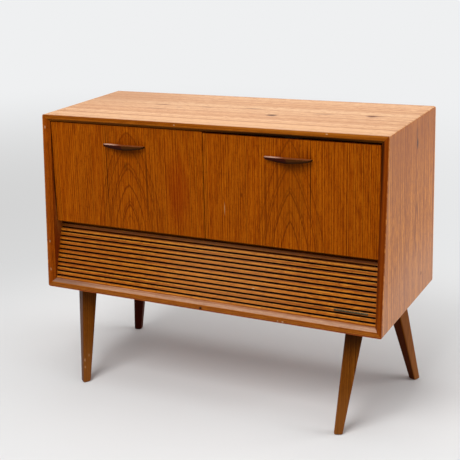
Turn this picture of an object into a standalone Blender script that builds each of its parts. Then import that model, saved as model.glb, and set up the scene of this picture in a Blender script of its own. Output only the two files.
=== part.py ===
"""Radiogram on splayed legs, built as an assembly of separate pieces.

Metres, +Z up, front towards -Y. Everything is first laid out in case
coordinates: x = 0 on the middle, y = 0 halfway along the depth of the top,
z = 0 on the underside of the case. The last step centres the finished part
on its own box and stands it on z = 0.
"""
import math

import bmesh
import bpy
from mathutils import Matrix, Vector
from mathutils.geometry import tessellate_polygon

# Case
CASE_WIDTH = 0.950
CASE_HEIGHT = 0.464
TOP_DEPTH = 0.352
FRONT_RUN = 0.0487          # the foot of the front stands this much further forward than its top
PANEL_T = 0.018
BOTTOM_T = 0.020
CORNER_R = 0.005
FRONT_STRIP = 0.010         # flat front edge of the top and the sides
BOTTOM_STRIP = 0.0115       # flat front edge of the bottom
CHAMFER_DEPTH = 0.008
BOTTOM_CHAMFER_DEPTH = 0.0105
FIT_GAP = 0.0003            # between pieces that touch

# Back
BACK_T = 0.005
BACK_INSET = 0.007
VENT_SLOT_LENGTH = 0.046
VENT_SLOT_HEIGHT = 0.005
VENT_PITCH_X = 0.062
VENT_PITCH_Z = 0.016
VENT_COLUMNS = 6
VENT_ROWS = 4

# Inside boards
SHELF_T = 0.014
SHELF_TOP = 0.160
SHELF_FRONT_CLEAR = 0.0014  # behind the grille battens
RAIL_DEPTH = 0.018
PARTITION_T = 0.016
PARTITION_CLEAR = 0.004     # behind the closed flaps

# Flaps
FLAP_T = 0.016
FLAP_LEAN_DEG = 2.915
FLAP_RECESS = 0.008         # behind the frame at the top
FLAP_FOOT = 0.1765          # height of the lower front edge above the case underside
FLAP_TOP_GAP_LEFT = 0.0020
FLAP_TOP_GAP_RIGHT = 0.0054  # this flap is cut shorter and narrower, so its gaps show
FLAP_SIDE_GAP_LEFT = 0.0018
FLAP_SIDE_GAP_RIGHT = 0.0040
FLAP_MEET_GAP = 0.0020
FLAP_HINGE_CHAMFER = 0.0042
FLAP_EDGE_R = 0.0008
FLAP_OPEN_DEG = 88.0

# Flap handles
HANDLE_LENGTH = 0.124
HANDLE_TOP = 0.2209         # up the flap from the hinge axis
HANDLE_MID_REACH = 0.017
HANDLE_END_REACH = 0.012
HANDLE_MID_T = 0.0095
HANDLE_END_T = 0.0045

# Hinges
HINGE_LENGTH = 0.380
HINGE_KNUCKLE_R = 0.0023
HINGE_PIN_R = 0.0011
HINGE_BORE_R = 0.0014
HINGE_LEAF_T = 0.0012
HINGE_LEAF_WIDTH = 0.014
HINGE_MID_SHARE = 0.5
HINGE_END_GAP = 0.0005

# Quadrant stays
STAY_RADIUS = 0.075
STAY_WIDTH = 0.006
STAY_T = 0.002
STAY_HEAD_EXTRA = 0.0015
STAY_HEAD_LENGTH = 0.003
STAY_WALL_CLEAR = 0.004
STAY_FOOT = 0.016
STAY_FOOT_T = 0.0012
STAY_GUIDE_LENGTH = 0.005
STAY_GUIDE_SIDE = 0.0035
STAY_GUIDE_CLEAR = 0.0006
STAY_STOP_CLEAR = 0.0004

# Grille
SLAT_COUNT = 13
SLAT_PITCH = 0.0119
SLAT_WIDTH = 0.0079
SLAT_T = 0.006
SLAT_ROUND = 0.0008
GRILLE_LEAN_DEG = 18.37
GRILLE_FOOT_SETBACK = 0.0112
GRILLE_FIRST = 0.0002
BATTEN_WIDTH = 0.020
BATTEN_T = 0.006
BATTEN_SHORT = 0.002        # below the top of the upper slat
CLOTH_T = 0.0006
BAFFLE_T = 0.010

# Loudspeakers
SPEAKER_X = 0.225
SPEAKER_R = 0.054
SPEAKER_HOLE_R = 0.046
SPEAKER_FLANGE_T = 0.003
SPEAKER_DEPTH = 0.048
SPEAKER_MAGNET_R = 0.026
SPEAKER_MAGNET_T = 0.018
SPEAKER_CONE_DEPTH = 0.020

# Legs: one pattern, each screwed in to its own turn
LEG_HEIGHT = 0.270
LEG_SPLAY = 0.0605
LEG_TOP_W = 0.043
LEG_FOOT_W = 0.021
LEG_TOP_ROUND = 0.006
LEG_FOOT_ROUND = 0.0035
LEG_FOOT_EASE = 0.0025
LEG_INSET_SIDE = 0.087
LEG_INSET_FRONT = 0.0617    # from the lower front edge of the case
LEG_INSET_BACK = 0.067
LEG_TURN_FRONT_LEFT = 6.3
LEG_TURN_FRONT_RIGHT = -25.4
LEG_TURN_BACK_RIGHT = 113.0
LEG_TURN_BACK_LEFT = 240.0

# Record deck, left
PLINTH_HEIGHT = 0.072
PLINTH_T = 0.006
PLINTH_CORNER_R = 0.008
PLINTH_SIDE_CLEAR = 0.021
PLINTH_PARTITION_CLEAR = 0.006
PLINTH_FRONT_CLEAR = 0.0015  # behind the rail
PLINTH_BACK_CLEAR = 0.010
PLATTER_MARGIN = 0.0143     # from the plinth's front and back
PLATTER_SIDE = 0.046        # from the plinth's left end
PLATTER_HEIGHT = 0.017
PLATTER_LIFT = 0.003
PLATTER_HUB_R = 0.021
PLATTER_RIM = 0.004
SPINDLE_R = 0.0036
SPINDLE_RISE = 0.017
MAT_T = 0.003
MAT_MARGIN = 0.004
ARM_SIDE = 0.052            # from the plinth's right end
ARM_BACK = 0.0557           # from the plinth's back
ARM_FRONT = 0.00705         # from the stylus to the plinth's front
ARM_TAIL = 0.040
ARM_TUBE_R = 0.004
ARM_AXIS_RISE = 0.045
ARM_PILLAR_R = 0.015
ARM_CHEEK_T = 0.003
ARM_CHEEK_HALF = 0.006
ARM_BLOCK_HALF = 0.008
ARM_CLEAR = 0.0006
ARM_TILT_ROOM = 0.0026      # under the pivot block, so that it can tilt
ARM_WEIGHT_R = 0.011
ARM_WEIGHT_LENGTH = 0.022
SHELL_LENGTH = 0.040
SHELL_WIDTH = 0.016
SHELL_HEIGHT = 0.010
STYLUS_CLEAR = 0.0015
REST_SHARE = 0.63           # of the arm's length, from the pivot
REST_POST_R = 0.004
REST_CLIP_HALF = 0.008
REST_CLIP_RISE = 0.005
REST_CLIP_T = 0.003
SPEED_KNOB_INSET = 0.031    # from the plinth's left end and front
SPEED_KNOB_R = 0.013
SPEED_KNOB_HEIGHT = 0.016

# Receiver, right
FASCIA_SETBACK = 0.088      # behind the hinge axis
FASCIA_T = 0.008
DIAL_MARGIN_X = 0.034
DIAL_TOP_MARGIN = 0.030
DIAL_HEIGHT = 0.085
DIAL_GLASS_T = 0.003
DIAL_GLASS_INSET = 0.0005
POINTER_WIDTH = 0.002
POINTER_T = 0.0016
POINTER_MARGIN = 0.006
POINTER_END = 0.020
CONTROL_HEIGHT = 0.105      # knob and button row above the shelf
KNOB_R = 0.023
KNOB_LENGTH = 0.022
KNOB_SHAFT_R = 0.003
KNOB_BORE_CLEAR = 0.0006
KNOB_INSET = 0.078          # from each end of the fascia
BUTTON_WIDTH = 0.036
BUTTON_HEIGHT = 0.017
BUTTON_PITCH = 0.046
BUTTON_PROUD = 0.012
BUTTON_TRAVEL = 0.004
BUTTON_CLEAR = 0.0006
CHASSIS_T = 0.0015
CHASSIS_DEPTH = 0.180
CHASSIS_MARGIN = 0.012
CHASSIS_FOOT = 0.025

# Values that follow from the ones above
HALF_W = CASE_WIDTH / 2
WALL_X = HALF_W - PANEL_T
CEILING = CASE_HEIGHT - PANEL_T
FRONT_TOP_Y = -TOP_DEPTH / 2
BACK_Y = TOP_DEPTH / 2
FRONT_SLOPE = FRONT_RUN / CASE_HEIGHT
BACK_FRONT_Y = BACK_Y - BACK_INSET - BACK_T
INNER_BACK_Y = BACK_FRONT_Y - FIT_GAP
LEAN = math.radians(FLAP_LEAN_DEG)
FLAP_UP = Vector((0.0, math.sin(LEAN), math.cos(LEAN)))
FLAP_OUT = Vector((0.0, -math.cos(LEAN), math.sin(LEAN)))
FLAP_FOOT_Y = FRONT_TOP_Y + FLAP_RECESS - math.tan(LEAN) * (CASE_HEIGHT - FLAP_FOOT)
AXIS_Y = FLAP_FOOT_Y + FLAP_T * math.cos(LEAN)
AXIS_Z = FLAP_FOOT - FLAP_T * math.sin(LEAN)
FLAP_ROOM = CEILING - AXIS_Z - FLAP_T * math.sin(LEAN)
FLAP_LENGTH_LEFT = (FLAP_ROOM - FLAP_TOP_GAP_LEFT) / math.cos(LEAN)
FLAP_LENGTH_RIGHT = (FLAP_ROOM - FLAP_TOP_GAP_RIGHT) / math.cos(LEAN)
FLAP_INNER_X = FLAP_MEET_GAP / 2
FLAP_MID_X = (FLAP_INNER_X + WALL_X - FLAP_SIDE_GAP_LEFT) / 2
TILT = math.radians(GRILLE_LEAN_DEG)
GRILLE_UP = Vector((0.0, math.sin(TILT), math.cos(TILT)))
GRILLE_IN = Vector((0.0, math.cos(TILT), -math.sin(TILT)))
GRILLE_FOOT_Y = FRONT_TOP_Y - FRONT_SLOPE * (CASE_HEIGHT - BOTTOM_T) + GRILLE_FOOT_SETBACK
SHELF_BOTTOM = SHELF_TOP - SHELF_T
BATTEN_BACK = SLAT_T + FIT_GAP + BATTEN_T
CLOTH_FRONT = BATTEN_BACK + FIT_GAP
BAFFLE_FRONT = CLOTH_FRONT + CLOTH_T + FIT_GAP
BAFFLE_BACK = BAFFLE_FRONT + BAFFLE_T
RAIL_TOP = AXIS_Z - HINGE_LEAF_T - FIT_GAP
SHELF_FRONT_Y = (GRILLE_FOOT_Y + (SHELF_TOP - BOTTOM_T) * math.tan(TILT)
                 + BATTEN_BACK / math.cos(TILT) + SHELF_FRONT_CLEAR)
RAIL_BACK_Y = SHELF_FRONT_Y + RAIL_DEPTH
LEG_X = HALF_W - LEG_INSET_SIDE
LEG_FRONT_Y = FRONT_TOP_Y - FRONT_RUN + LEG_INSET_FRONT
LEG_BACK_Y = BACK_Y - LEG_INSET_BACK
PLINTH_TOP = SHELF_TOP + FIT_GAP + PLINTH_HEIGHT
PLINTH_LEFT = -WALL_X + PLINTH_SIDE_CLEAR
PLINTH_RIGHT = -PARTITION_T / 2 - PLINTH_PARTITION_CLEAR
PLINTH_FRONT = RAIL_BACK_Y + PLINTH_FRONT_CLEAR
PLINTH_BACK = INNER_BACK_Y - PLINTH_BACK_CLEAR
PLATTER_R = (PLINTH_BACK - PLINTH_FRONT) / 2 - PLATTER_MARGIN
PLATTER_X = PLINTH_LEFT + PLATTER_SIDE + PLATTER_R
PLATTER_Y = (PLINTH_FRONT + PLINTH_BACK) / 2
ARM_X = PLINTH_RIGHT - ARM_SIDE
ARM_Y = PLINTH_BACK - ARM_BACK
ARM_LENGTH = ARM_Y - ARM_FRONT - PLINTH_FRONT
REST_REACH = ARM_LENGTH * REST_SHARE
SPEED_KNOB_X = PLINTH_LEFT + SPEED_KNOB_INSET
SPEED_KNOB_Y = PLINTH_FRONT + SPEED_KNOB_INSET
PLATTER_TOP = PLINTH_TOP + PLATTER_LIFT + PLATTER_HEIGHT
MAT_TOP = PLATTER_TOP + FIT_GAP + MAT_T
ARM_AXIS_Z = PLINTH_TOP + ARM_AXIS_RISE
FASCIA_FRONT_Y = AXIS_Y + FASCIA_SETBACK
FASCIA_BACK_Y = FASCIA_FRONT_Y + FASCIA_T
FASCIA_LEFT = PARTITION_T / 2 + FIT_GAP
FASCIA_RIGHT = WALL_X - FIT_GAP
FASCIA_MID = (FASCIA_LEFT + FASCIA_RIGHT) / 2
DIAL_LEFT = FASCIA_LEFT + DIAL_MARGIN_X
DIAL_RIGHT = FASCIA_RIGHT - DIAL_MARGIN_X
DIAL_TOP = CEILING - DIAL_TOP_MARGIN
DIAL_BOTTOM = DIAL_TOP - DIAL_HEIGHT
CONTROL_Z = SHELF_TOP + CONTROL_HEIGHT

for old in list(bpy.data.objects):
    bpy.data.objects.remove(old, do_unlink=True)

pieces = []


def material(name, colour, roughness, metallic=0.0):
    """Plain Principled material."""
    mat = bpy.data.materials.new(name)
    mat.use_nodes = True
    shader = mat.node_tree.nodes["Principled BSDF"]
    shader.inputs["Base Color"].default_value = (*colour, 1.0)
    shader.inputs["Roughness"].default_value = roughness
    shader.inputs["Metallic"].default_value = metallic
    mat.diffuse_color = (*colour, 1.0)
    return mat


def add(name, bm, mat, origin=None):
    """Turn a bmesh in case coordinates into one named object."""
    bmesh.ops.remove_doubles(bm, verts=bm.verts[:], dist=1e-6)
    bmesh.ops.recalc_face_normals(bm, faces=bm.faces[:])
    if origin is None:
        low = Vector(min(v.co[i] for v in bm.verts) for i in range(3))
        high = Vector(max(v.co[i] for v in bm.verts) for i in range(3))
        origin = (low + high) / 2
    origin = Vector(origin)
    bm.transform(Matrix.Translation(-origin))
    mesh = bpy.data.meshes.new(name)
    bm.to_mesh(mesh)
    bm.free()
    mesh.shade_smooth()
    mesh.set_sharp_from_angle(angle=math.radians(28))
    obj = bpy.data.objects.new(name, mesh)
    obj.location = origin
    obj.data.materials.append(mat)
    bpy.context.scene.collection.objects.link(obj)
    pieces.append(obj)
    return obj


def box(x0, x1, y0, y1, z0, z1):
    """Axis-aligned block."""
    bm = bmesh.new()
    bmesh.ops.create_cube(bm, size=1.0)
    size = Matrix.Diagonal((x1 - x0, y1 - y0, z1 - z0, 1.0))
    middle = Vector(((x0 + x1) / 2, (y0 + y1) / 2, (z0 + z1) / 2))
    bm.transform(Matrix.Translation(middle) @ size)
    return bm


def prism(outline, low, high, frame, holes=()):
    """Extrude an outline, with holes, along the third axis of a frame."""
    bm = bmesh.new()
    loops = [list(outline)] + [list(h) for h in holes]
    flat = [p for loop in loops for p in loop]
    ends = []
    for level in (low, high):
        ends.append([bm.verts.new((p[0], p[1], level)) for p in flat])
    tri = tessellate_polygon([[Vector((p[0], p[1], 0.0)) for p in loop] for loop in loops])
    if holes:
        for a, b, c in tri:
            bm.faces.new((ends[0][a], ends[0][c], ends[0][b]))
            bm.faces.new((ends[1][a], ends[1][b], ends[1][c]))
    else:
        bm.faces.new(list(reversed(ends[0])))
        bm.faces.new(ends[1])
    start = 0
    for loop in loops:
        count = len(loop)
        for i in range(count):
            a = start + i
            b = start + (i + 1) % count
            bm.faces.new((ends[0][a], ends[0][b], ends[1][b], ends[1][a]))
        start += count
    bmesh.ops.recalc_face_normals(bm, faces=bm.faces[:])
    bm.transform(frame)
    return bm


def frame_of(origin, first, second, third):
    """Matrix that carries local axes onto three given directions."""
    mat = Matrix.Identity(4)
    for column, axis in enumerate((first, second, third)):
        for row in range(3):
            mat[row][column] = axis[row]
    mat.translation = Vector(origin)
    return mat


ALONG_Y = frame_of((0, 0, 0), (1, 0, 0), (0, 0, 1), (0, 1, 0))
ALONG_X = frame_of((0, 0, 0), (0, 1, 0), (0, 0, 1), (1, 0, 0))
FLAP_FRAME = frame_of((0, AXIS_Y, AXIS_Z), FLAP_OUT, FLAP_UP, (1, 0, 0))
GRILLE_FRAME = frame_of((0, GRILLE_FOOT_Y, BOTTOM_T), (1, 0, 0), GRILLE_UP, GRILLE_IN)


def cut(bm, point, normal):
    """Slice off everything on the side the normal points to, and close the cut."""
    geom = bm.verts[:] + bm.edges[:] + bm.faces[:]
    done = bmesh.ops.bisect_plane(bm, geom=geom, dist=1e-7, plane_co=Vector(point),
                                  plane_no=Vector(normal), clear_outer=True)
    edges = [e for e in done["geom_cut"] if isinstance(e, bmesh.types.BMEdge)]
    bmesh.ops.edgenet_fill(bm, edges=edges)
    return bm


def stepped(body, tail, stations, full, frame, pin=()):
    """Extrude an outline in spans: full spans carry body and tail, the others the tail and a pin."""
    bm = bmesh.new()
    outline = list(body) + list(tail)
    every = list(range(len(outline)))
    only_tail = every[len(body):]
    rings = [[bm.verts.new((p[0], p[1], level)) for p in outline] for level in stations]
    pins = [[bm.verts.new((p[0], p[1], level)) for p in pin] for level in stations]
    for k, whole in enumerate(full):
        loop = every if whole else only_tail
        for i, j in zip(loop, loop[1:] + loop[:1]):
            bm.faces.new((rings[k][i], rings[k][j], rings[k + 1][j], rings[k + 1][i]))
        if not whole:
            for i in range(len(pin)):
                j = (i + 1) % len(pin)
                bm.faces.new((pins[k][i], pins[k][j], pins[k + 1][j], pins[k + 1][i]))
    for k, whole in ((0, full[0]), (len(full), full[-1])):
        bm.faces.new([rings[k][i] for i in (every if whole else only_tail)])
    shoulder = every[:len(body)] + [only_tail[0], only_tail[-1]]
    for k in range(1, len(full)):
        loops = [[Vector((*outline[i], 0.0)) for i in shoulder]]
        if pin:
            loops.append([Vector((*p, 0.0)) for p in pin])
        corners = [rings[k][i] for i in shoulder] + pins[k]
        for tri in tessellate_polygon(loops):
            bm.faces.new([corners[i] for i in tri])
    loose = [v for v in bm.verts if not v.link_faces]
    bmesh.ops.delete(bm, geom=loose, context="VERTS")
    bmesh.ops.recalc_face_normals(bm, faces=bm.faces[:])
    bm.transform(frame)
    return bm


def revolve(profile, count, frame, closed=False):
    """Turn a profile of (radius, height) about the third axis of a frame."""
    bm = bmesh.new()
    rings = []
    for radius, height in profile:
        if radius < 1e-7:
            rings.append([bm.verts.new((0.0, 0.0, height))])
            continue
        ring = []
        for i in range(count):
            turn = 2 * math.pi * i / count
            ring.append(bm.verts.new((radius * math.cos(turn), radius * math.sin(turn), height)))
        rings.append(ring)
    pairs = list(zip(rings, rings[1:]))
    if closed:
        pairs.append((rings[-1], rings[0]))
    for a, b in pairs:
        for i in range(count):
            j = (i + 1) % count
            if len(a) == 1:
                bm.faces.new((a[0], b[i], b[j]))
            elif len(b) == 1:
                bm.faces.new((a[i], a[j], b[0]))
            else:
                bm.faces.new((a[i], a[j], b[j], b[i]))
    bmesh.ops.recalc_face_normals(bm, faces=bm.faces[:])
    bm.transform(frame)
    return bm


def loft(rings):
    """Skin a row of equal rings and close both ends."""
    bm = bmesh.new()
    made = [[bm.verts.new(p) for p in ring] for ring in rings]
    for a, b in zip(made, made[1:]):
        for i in range(len(a)):
            j = (i + 1) % len(a)
            bm.faces.new((a[i], a[j], b[j], b[i]))
    bm.faces.new(list(reversed(made[0])))
    bm.faces.new(made[-1])
    bmesh.ops.recalc_face_normals(bm, faces=bm.faces[:])
    return bm


def combine(first, second, operation):
    """Exact union or difference of two closed bodies."""
    objects = []
    for bm in (first, second):
        bmesh.ops.triangulate(bm, faces=bm.faces[:])
        bmesh.ops.recalc_face_normals(bm, faces=bm.faces[:])
        mesh = bpy.data.meshes.new("work")
        bm.to_mesh(mesh)
        bm.free()
        obj = bpy.data.objects.new("work", mesh)
        bpy.context.scene.collection.objects.link(obj)
        objects.append(obj)
    step = objects[0].modifiers.new("join", "BOOLEAN")
    step.operation = operation
    step.solver = "EXACT"
    step.object = objects[1]
    graph = bpy.context.evaluated_depsgraph_get()
    graph.update()
    result = bmesh.new()
    result.from_mesh(bpy.data.meshes.new_from_object(objects[0].evaluated_get(graph)))
    for obj in objects:
        bpy.data.objects.remove(obj, do_unlink=True)
    bmesh.ops.remove_doubles(result, verts=result.verts[:], dist=1e-6)
    return result


def round_rect(x0, x1, y0, y1, radius, steps=3):
    """Rectangle with rounded corners, counter-clockwise."""
    points = []
    corners = ((x1 - radius, y1 - radius, 0), (x0 + radius, y1 - radius, 90),
               (x0 + radius, y0 + radius, 180), (x1 - radius, y0 + radius, 270))
    for cx, cy, start in corners:
        for i in range(steps + 1):
            turn = math.radians(start + 90 * i / steps)
            points.append((cx + radius * math.cos(turn), cy + radius * math.sin(turn)))
    return points


def circle(cx, cy, radius, count=24, offset=0.0):
    """Round outline, its first point turned by a share of one step."""
    turns = [2 * math.pi * (i + offset) / count for i in range(count)]
    return [(cx + radius * math.cos(t), cy + radius * math.sin(t)) for t in turns]


def rect(x0, x1, y0, y1):
    """Plain rectangle outline."""
    return [(x0, y0), (x1, y0), (x1, y1), (x0, y1)]


def ease(bm, width, test):
    """Small bevel on the edges that pass a test."""
    edges = [e for e in bm.edges if test(e)]
    bmesh.ops.bevel(bm, geom=edges, offset=width, segments=2, profile=0.5, affect="EDGES")
    return bm


veneer = material("teak_veneer", (0.30, 0.12, 0.03), 0.45)
lath = material("teak_solid", (0.32, 0.14, 0.04), 0.5)
dark_wood = material("dark_stained_wood", (0.13, 0.05, 0.015), 0.45)
ply = material("plain_board", (0.42, 0.28, 0.16), 0.7)
hardboard = material("hardboard", (0.20, 0.12, 0.07), 0.8)
cloth = material("black_cloth", (0.01, 0.01, 0.01), 0.9)
brass = material("brass", (0.60, 0.42, 0.16), 0.35, 1.0)
steel = material("steel", (0.55, 0.55, 0.55), 0.35, 1.0)
black_plastic = material("black_plastic", (0.02, 0.02, 0.02), 0.4)
ivory_plastic = material("ivory_plastic", (0.62, 0.56, 0.42), 0.35)
grey_paint = material("grey_paint", (0.25, 0.25, 0.24), 0.5)
rubber = material("black_rubber", (0.015, 0.015, 0.015), 0.8)
glass = material("dial_glass", (0.02, 0.02, 0.02), 0.1)
red_paint = material("red_pointer", (0.5, 0.03, 0.02), 0.4)

# Mitred carcass: each board is a rounded plank cut by its mitres, the leaning front and its chamfer.
FRONT_POINT = (0.0, FRONT_TOP_Y, CASE_HEIGHT)
FRONT_NORMAL = (0.0, -1.0, FRONT_SLOPE)
PLANK_FRONT = FRONT_TOP_Y - FRONT_RUN - PANEL_T


def front_y(z):
    """Depth position of the leaning front plane at a height."""
    return FRONT_TOP_Y - FRONT_SLOPE * (CASE_HEIGHT - z)


def mitre(bm, side, low, keep_board):
    """Cut one mitre of a board, half a gap short of the joint."""
    height = BOTTOM_T if low else PANEL_T
    corner = Vector((side * HALF_W, 0.0, 0.0 if low else CASE_HEIGHT))
    run = Vector((-side * PANEL_T, 0.0, height if low else -height)).normalized()
    normal = Vector((run.z, 0.0, -run.x))
    outwards = Vector((side, 0.0, 0.0))
    if (normal.dot(outwards) > 0) != keep_board:
        normal = -normal
    cut(bm, corner - normal * FIT_GAP / 2, normal)


top = prism(round_rect(-HALF_W, HALF_W, CEILING - PANEL_T, CASE_HEIGHT, CORNER_R), PLANK_FRONT, BACK_Y,
            ALONG_Y)
cut(top, (0, 0, CEILING), (0, 0, -1))
mitre(top, 1, False, True)
mitre(top, -1, False, True)
cut(top, FRONT_POINT, FRONT_NORMAL)
strip_z = CASE_HEIGHT - FRONT_STRIP
cut(top, (0, front_y(strip_z), strip_z), (0, -(PANEL_T - FRONT_STRIP), -CHAMFER_DEPTH))
add("top_panel", top, veneer)

floor_board = prism(round_rect(-HALF_W, HALF_W, 0.0, BOTTOM_T * 2, CORNER_R), PLANK_FRONT, BACK_Y, ALONG_Y)
cut(floor_board, (0, 0, BOTTOM_T), (0, 0, 1))
mitre(floor_board, 1, True, True)
mitre(floor_board, -1, True, True)
cut(floor_board, FRONT_POINT, FRONT_NORMAL)
cut(floor_board, (0, front_y(BOTTOM_STRIP), BOTTOM_STRIP),
    (0, -(BOTTOM_T - BOTTOM_STRIP), BOTTOM_CHAMFER_DEPTH))
add("bottom_panel", floor_board, veneer)

for side, label in ((-1, "left"), (1, "right")):
    plank = prism(round_rect(WALL_X - PANEL_T, HALF_W, 0.0, CASE_HEIGHT, CORNER_R),
                  PLANK_FRONT, BACK_Y, ALONG_Y)
    cut(plank, (WALL_X, 0, 0), (-1, 0, 0))
    if side < 0:
        bmesh.ops.scale(plank, vec=(-1, 1, 1), verts=plank.verts[:])
        bmesh.ops.reverse_faces(plank, faces=plank.faces[:])
    mitre(plank, side, False, False)
    mitre(plank, side, True, False)
    cut(plank, FRONT_POINT, FRONT_NORMAL)
    strip_x = side * (HALF_W - FRONT_STRIP)
    along = Vector((0.0, FRONT_SLOPE, 1.0))
    inward = Vector((-side * (PANEL_T - FRONT_STRIP), CHAMFER_DEPTH, 0.0))
    normal = along.cross(inward)
    if normal.y > 0:
        normal = -normal
    cut(plank, (strip_x, front_y(0.0), 0.0), normal)
    add(label + "_side_panel", plank, veneer)

# Back board with its rows of vent slots
slots = []
for group_x, rows, base in ((-HALF_W / 2, VENT_ROWS, CASE_HEIGHT * 0.66),
                            (HALF_W / 2, VENT_ROWS, CASE_HEIGHT * 0.66),
                            (-HALF_W / 2, VENT_ROWS // 2, CASE_HEIGHT * 0.17),
                            (HALF_W / 2, VENT_ROWS // 2, CASE_HEIGHT * 0.17)):
    for row in range(rows):
        for column in range(VENT_COLUMNS):
            cx = group_x + (column - (VENT_COLUMNS - 1) / 2) * VENT_PITCH_X
            cz = base + (row - (rows - 1) / 2) * VENT_PITCH_Z
            slots.append(rect(cx - VENT_SLOT_LENGTH / 2, cx + VENT_SLOT_LENGTH / 2,
                              cz - VENT_SLOT_HEIGHT / 2, cz + VENT_SLOT_HEIGHT / 2))
back = prism(rect(-WALL_X + FIT_GAP, WALL_X - FIT_GAP, BOTTOM_T + FIT_GAP, CEILING - FIT_GAP),
             BACK_FRONT_Y, BACK_FRONT_Y + BACK_T, ALONG_Y, slots)
add("back_panel", back, hardboard)

# Inside boards
add("compartment_shelf", box(-WALL_X + FIT_GAP, WALL_X - FIT_GAP, SHELF_FRONT_Y, INNER_BACK_Y,
                             SHELF_BOTTOM, SHELF_TOP), veneer)
add("flap_rail", box(-WALL_X + FIT_GAP, WALL_X - FIT_GAP, SHELF_FRONT_Y, RAIL_BACK_Y,
                     SHELF_TOP + FIT_GAP, RAIL_TOP), lath)


def behind_flap(z):
    """Depth position just behind the closed flaps at a height."""
    return AXIS_Y + math.tan(LEAN) * (z - AXIS_Z) + PARTITION_CLEAR


partition_low = SHELF_TOP + FIT_GAP
partition_high = CEILING - FIT_GAP
partition = prism([(INNER_BACK_Y, partition_low), (INNER_BACK_Y, partition_high),
                   (behind_flap(partition_high), partition_high),
                   (behind_flap(RAIL_TOP), RAIL_TOP + FIT_GAP),
                   (RAIL_BACK_Y + FIT_GAP, RAIL_TOP + FIT_GAP),
                   (RAIL_BACK_Y + FIT_GAP, partition_low)],
                  -PARTITION_T / 2, PARTITION_T / 2, ALONG_X)
add("centre_partition", partition, veneer)

# Grille of slats, cloth and baffle, all leaning back together
GRILLE_SIDE = WALL_X - FIT_GAP
GRILLE_FLOOR = BOTTOM_T + FIT_GAP
for index in range(SLAT_COUNT):
    low = GRILLE_FIRST + (SLAT_COUNT - 1 - index) * SLAT_PITCH
    slat = prism(rect(-GRILLE_SIDE, GRILLE_SIDE, low, low + SLAT_WIDTH), 0.0, SLAT_T,
                 Matrix.Identity(4))
    ease(slat, SLAT_ROUND, lambda e: all(v.co.z < 1e-6 for v in e.verts)
         and abs(e.verts[0].co.y - e.verts[1].co.y) < 1e-6)
    slat.transform(GRILLE_FRAME)
    if index == SLAT_COUNT - 1:
        cut(slat, (0, 0, GRILLE_FLOOR), (0, 0, -1))
    add("grille_slat_%02d" % (index + 1), slat, lath)

GRILLE_LENGTH = GRILLE_FIRST + (SLAT_COUNT - 1) * SLAT_PITCH + SLAT_WIDTH
batten_low = SLAT_T + FIT_GAP
for label, middle in (("left", -(GRILLE_SIDE - BATTEN_WIDTH / 2)), ("centre", 0.0),
                      ("right", GRILLE_SIDE - BATTEN_WIDTH / 2)):
    batten = prism(rect(middle - BATTEN_WIDTH / 2, middle + BATTEN_WIDTH / 2, -BATTEN_WIDTH,
                        GRILLE_LENGTH - BATTEN_SHORT), batten_low, BATTEN_BACK, GRILLE_FRAME)
    cut(batten, (0, 0, GRILLE_FLOOR), (0, 0, -1))
    add("grille_batten_" + label, batten, dark_wood)

SPEAKER_UP = (SHELF_BOTTOM - BOTTOM_T) / 2 / math.cos(TILT) + BAFFLE_BACK * math.tan(TILT) / 2
for label, front, thick, mat in (("speaker_cloth", CLOTH_FRONT, CLOTH_T, cloth),
                                 ("speaker_baffle", BAFFLE_FRONT, BAFFLE_T, ply)):
    holes = []
    if label == "speaker_baffle":
        holes = [circle(x, SPEAKER_UP, SPEAKER_HOLE_R, 40) for x in (-SPEAKER_X, SPEAKER_X)]
    foot = (front + thick) * math.tan(TILT) + FIT_GAP / math.cos(TILT)
    head = (SHELF_BOTTOM - BOTTOM_T - FIT_GAP) / math.cos(TILT) + front * math.tan(TILT)
    board = prism(rect(-GRILLE_SIDE, GRILLE_SIDE, foot, head), front, front + thick, GRILLE_FRAME, holes)
    add(label, board, mat)

for side, label in ((-1, "left"), (1, "right")):
    seat = BAFFLE_BACK + FIT_GAP
    neck = seat + SPEAKER_DEPTH - SPEAKER_MAGNET_T
    unit = revolve([(0.0, seat + SPEAKER_CONE_DEPTH), (0.012, seat + SPEAKER_CONE_DEPTH - 0.004),
                    (SPEAKER_HOLE_R - 0.006, seat + 0.002), (SPEAKER_HOLE_R - 0.002, seat + 0.001),
                    (SPEAKER_HOLE_R, seat), (SPEAKER_R, seat), (SPEAKER_R, seat + SPEAKER_FLANGE_T),
                    (SPEAKER_HOLE_R, seat + SPEAKER_FLANGE_T + 0.001),
                    (SPEAKER_MAGNET_R - 0.004, neck), (SPEAKER_MAGNET_R, neck),
                    (SPEAKER_MAGNET_R, seat + SPEAKER_DEPTH), (0.0, seat + SPEAKER_DEPTH)], 40,
                   GRILLE_FRAME @ Matrix.Translation((side * SPEAKER_X, SPEAKER_UP, 0.0)))
    add(label + "_loudspeaker", unit, grey_paint)


def knuckle_arc(first, last, steps=15):
    """Part of a hinge knuckle's outline about its pin."""
    turns = [first + (last - first) * i / steps for i in range(steps + 1)]
    return [(HINGE_KNUCKLE_R * math.cos(t), HINGE_KNUCKLE_R * math.sin(t)) for t in turns]


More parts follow.
